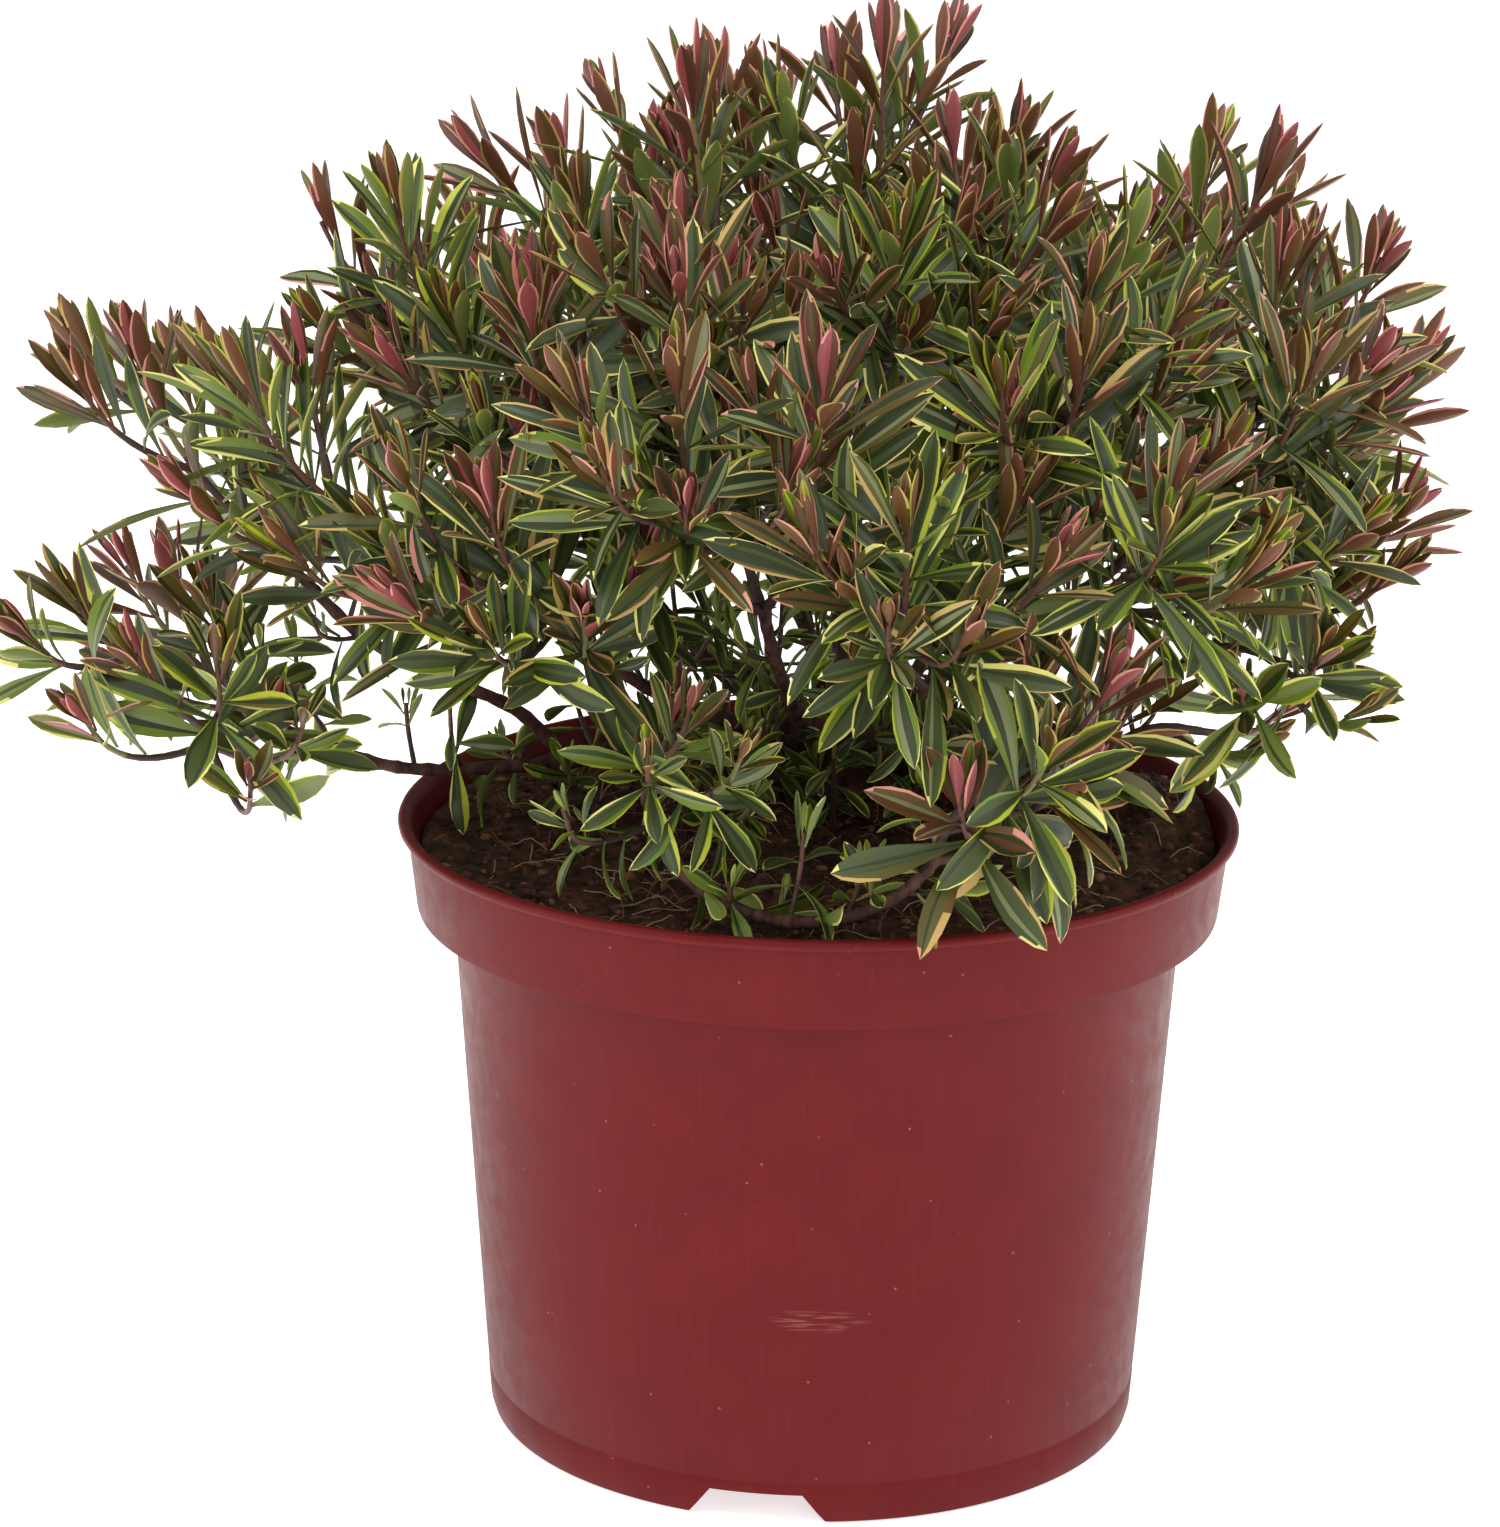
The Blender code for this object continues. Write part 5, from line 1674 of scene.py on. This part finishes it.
def add_pair(bundle, twig, share, grown, crossed, size, family, rng):
    """Add one pair of leaves to a twig, unless a leaf would leave the crown."""
    place, direction, reference = twig.at(share)
    low = lowness(place.z)
    lean = LEAN_TIP + (LEAN_FULL - LEAN_TIP) * grown ** 1.4
    age = min(OLDEST, max(0, int(grown * OLDEST + rng.uniform(0.1, 0.9))))
    for turn in (0, 180):
        side = turned(direction, reference, 90 * crossed + turn + rng.uniform(-PAIR_TWIST, PAIR_TWIST))
        angle = math.radians(lean + rng.uniform(-LEAN_SPREAD, LEAN_SPREAD))
        along = direction * math.cos(angle) + side * math.sin(angle)
        face = direction * math.sin(angle) - side * math.cos(angle)
        along = (along - UP * (HANG * low * grown * rng.uniform(0.3, 1.0))).normalized()
        face = (face - along * face.dot(along)).normalized()
        share_length = TIP_LEAF + (1 - TIP_LEAF) * grown ** 0.7
        length = LEAF_LENGTH * size * share_length * rng.uniform(*LENGTH_SPREAD)
        width = LEAF_WIDTH * size * (0.2 + 0.8 * share_length) * rng.uniform(*WIDTH_SPREAD)
        width *= 1 + LOW_BREADTH * low * grown
        curl = CURL_TIP + CURL_GROWN * grown + CURL_LOW * low * grown + rng.uniform(*CURL_SPREAD)
        first_rim = WIDE_RIM if rng.random() < BROAD_RIMS else FINE_RIM
        rims = (rng.uniform(*first_rim), rng.uniform(*FINE_RIM))
        fold = rng.uniform(*FOLD)
        for trim in LEAF_TRIMS:
            points = leaf_points(
                place + side * STALK, along, face, length * trim, width * trim, curl, fold, rims, rng
            )
            if room_for(points):
                places = blade_places(length * trim, width * trim, rng)
                bundle.add(points, LEAF_FACES, leaf_slots(family, age, rng), places)
                break


print("a shoot's leaf pairs lean from", LEAN_TIP, "to", LEAN_FULL, "degrees")

# %% Set leaves along a whole twig
PAIR_GAP = 5.0
FULL_PAIR = 6
FIRST_PAIR = 0.4
GAP_SPREAD = (0.88, 1.15)


def dress_twig(bundle, twig, bare, size, family, rng, gap=PAIR_GAP, full_pair=FULL_PAIR):
    """Pairs of leaves from a twig's tip down to its bare part."""
    reach = twig.length * (1 - bare)
    down = FIRST_PAIR
    pair = 0
    while down < reach:
        grown = min(1.0, pair / full_pair)
        add_pair(bundle, twig, 1 - down / twig.length, grown, pair % 2, size, family, rng)
        down += gap * (0.42 + 0.58 * grown) * rng.uniform(*GAP_SPREAD)
        pair += 1


print("grown pairs stand", PAIR_GAP, "mm apart")

# %% Dress the leaders and side shoots
REGIONS = ("left", "front", "top", "upper", "right", "back")
BARE_LEADER = 0.4
BARE_SHOOT = 0.24
LOW_LEAF = 0.84
LEAF_SEED = 5
LEAF_SPREAD = (0.82, 1.0)
OWN_LEAF_SIZE = {"foliage_front_left_low": 0.7, "foliage_front_low": 1.0}

rng = random.Random(LEAF_SEED)
leaf_bundles = {region: Bundle() for region in REGIONS}
for name, leader in leaders.items():
    bundle = leaf_bundles[name.split("_")[1]]
    scale = OWN_LEAF_SIZE.get(name, 1 - (1 - LOW_LEAF) * lowness(leader.line[-1].z))
    dress_twig(bundle, leader, BARE_LEADER, scale, pick_family(leader.line[-1], rng), rng)
    for shoot in sprays[name]:
        size = scale * rng.uniform(*LEAF_SPREAD)
        dress_twig(bundle, shoot, BARE_SHOOT, size, pick_family(shoot.line[-1], rng), rng)
for region, bundle in leaf_bundles.items():
    masses = [name for name in MASSES if name.split("_")[1] == region]
    dress(bundle.make("leaves_" + region, leaf_paints, 60), "foliage", *masses)

# %% [markdown]
# ## Small shoots inside the crown
#
# Old wood in the half shade of the crown keeps sprouting. Short, fresh green shoots
# stand all along the limbs and round the foot, with leaves half the size of the
# outer ones. A few leaves of nearly full size hang on the low limbs where they
# leave the pot.

# %% Grow the inner shoots
INNER_FROM = 0.3
INNER_SPACING = 6.0
INNER_LENGTH = (6.0, 20.0)
INNER_CLEAR = 4.0
LONG_INNER = ("bough_left_low", "branch_left_long", "bough_left_mid", "bough_front_left")
LONG_SPACING = 7.5
LONG_LENGTH = (12.0, 34.0)
FOOT_SHOOTS = 20
FOOT_REACH = (10.0, 24.0)
FOOT_LENGTH = (10.0, 32.0)
SPROUT_OUT = 0.7
SPROUT_UP = 0.4
SPROUT_NEAR = 0.4
SPROUT_FAR = 0.3
SPROUT_POINTS = 4

inner_shoots = []


def sprout(place, out, length, roll):
    """A short shoot that leaves a place and turns up."""
    tip = place + out * length * SPROUT_OUT + UP * length * SPROUT_UP
    near = place + out * length * SPROUT_NEAR
    far = tip - UP * length * SPROUT_FAR
    return Twig(bezier(place, near, far, tip, SPROUT_POINTS), roll)


for name, path in paths.items():
    limb = Twig(path, rng.uniform(0, 90))
    spacing = LONG_SPACING if name in LONG_INNER else INNER_SPACING
    lengths = LONG_LENGTH if name in LONG_INNER else INNER_LENGTH
    count = int(limb.length * (1 - INNER_FROM) / spacing)
    roll = rng.uniform(0, 360)
    for number in range(count):
        share = INNER_FROM + (1 - INNER_FROM) * (number + rng.random()) / count
        place, direction, reference = limb.at(share)
        roll += GOLDEN_ANGLE
        out = (turned(direction, reference, roll) + UP * 0.5 + direction * 0.3).normalized()
        shoot = sprout(place, out, rng.uniform(*lengths), rng.uniform(0, 90))
        if clear_of_pot(shoot.line[-1], INNER_CLEAR) and not in_opening(shoot.line[-1]):
            inner_shoots.append(shoot)
for number in range(FOOT_SHOOTS):
    azimuth = number * GOLDEN_ANGLE
    reach = rng.uniform(*FOOT_REACH)
    place = polar(azimuth, reach, 0.0) + Vector((STEM_PLACE[0], STEM_PLACE[1], 0.0))
    place.z = soil_height(place.x, place.y)
    out = polar(azimuth, 0.4, 1.0).normalized()
    inner_shoots.append(sprout(place, out, rng.uniform(*FOOT_LENGTH), 0.0))
print(len(inner_shoots), "inner shoots")

# %% Dress the inner shoots and the low limbs
INNER_LEAF = (0.36, 0.64)
INNER_GAP = 5.4
INNER_BARE = 0.1
INNER_FULL_PAIR = 3
SPARSE_LIMBS = {"bough_left_low": 0.5, "branch_front_curl": 0.15, "bough_right_low": 0.6}
SPARSE_SPACING = 11.0
SPARSE_LEAF = (0.65, 0.95)

inner_leaves = Bundle()
for shoot in inner_shoots:
    size = rng.uniform(*INNER_LEAF)
    gap = INNER_GAP * (0.4 + size)
    dress_twig(inner_leaves, shoot, INNER_BARE, size, "fresh", rng, gap, INNER_FULL_PAIR)
for name, start in SPARSE_LIMBS.items():
    limb = Twig(paths[name], 45.0)
    count = int(limb.length * (1 - start) / SPARSE_SPACING)
    for number in range(count):
        share = start + (1 - start) * (number + 0.5) / count
        add_pair(inner_leaves, limb, share, 1.0, number % 2, rng.uniform(*SPARSE_LEAF), "low", rng)
dress(inner_leaves.make("leaves_inner", leaf_paints, 60), "foliage")

# %% [markdown]
# ## Twigs
#
# The twigs that carry the leaves are slim tubes, brown where they are woody and
# mauve to green at their soft ends, with small swellings like a twig's joints.

# %% Model the twigs
TWIG_RADIUS = 1.05
SHOOT_RADIUS = 0.82
INNER_RADIUS = 0.52
TWIG_TIP_RADIUS = 0.45
TWIG_SIDES = 7
TWIG_STEP = 2.2
TWIG_SOFT = 0.62
TWIG_SWELL = 1.12

twig_paints = [
    plain_finish("twig_woody", srgb(66, 45, 39), 0.5, 0.8, 0.5),
    plain_finish("twig_soft", srgb(96, 60, 48), 0.45, 0.7, 0.35),
    plain_finish("twig_green", srgb(112, 104, 60), 0.45, 0.7, 0.35),
]


def add_twig(bundle, twig, root_radius, rng):
    """One slim tapering tube, woody at the root and soft at the end."""
    line = smooth_line(twig.line, TWIG_STEP)
    radii = []
    for index in range(len(line)):
        share = index / (len(line) - 1)
        swell = TWIG_SWELL if index % 2 else 1.0
        radii.append((root_radius + (TWIG_TIP_RADIUS - root_radius) * share) * swell)
    points, faces = tube(line, radii, TWIG_SIDES)
    soft = rng.choice((1, 1, 1, 2))
    woody_faces = 1 + TWIG_SIDES * int((len(line) - 1) * TWIG_SOFT)
    bundle.add(points, faces, [0 if index < woody_faces else soft for index in range(len(faces))])


twigs = Bundle()
for name, leader in leaders.items():
    add_twig(twigs, leader, TWIG_RADIUS, rng)
    for shoot in sprays[name]:
        add_twig(twigs, shoot, SHOOT_RADIUS, rng)
for shoot in inner_shoots:
    add_twig(twigs, shoot, INNER_RADIUS, rng)
dress(twigs.make("twigs", twig_paints, 80), "bark")
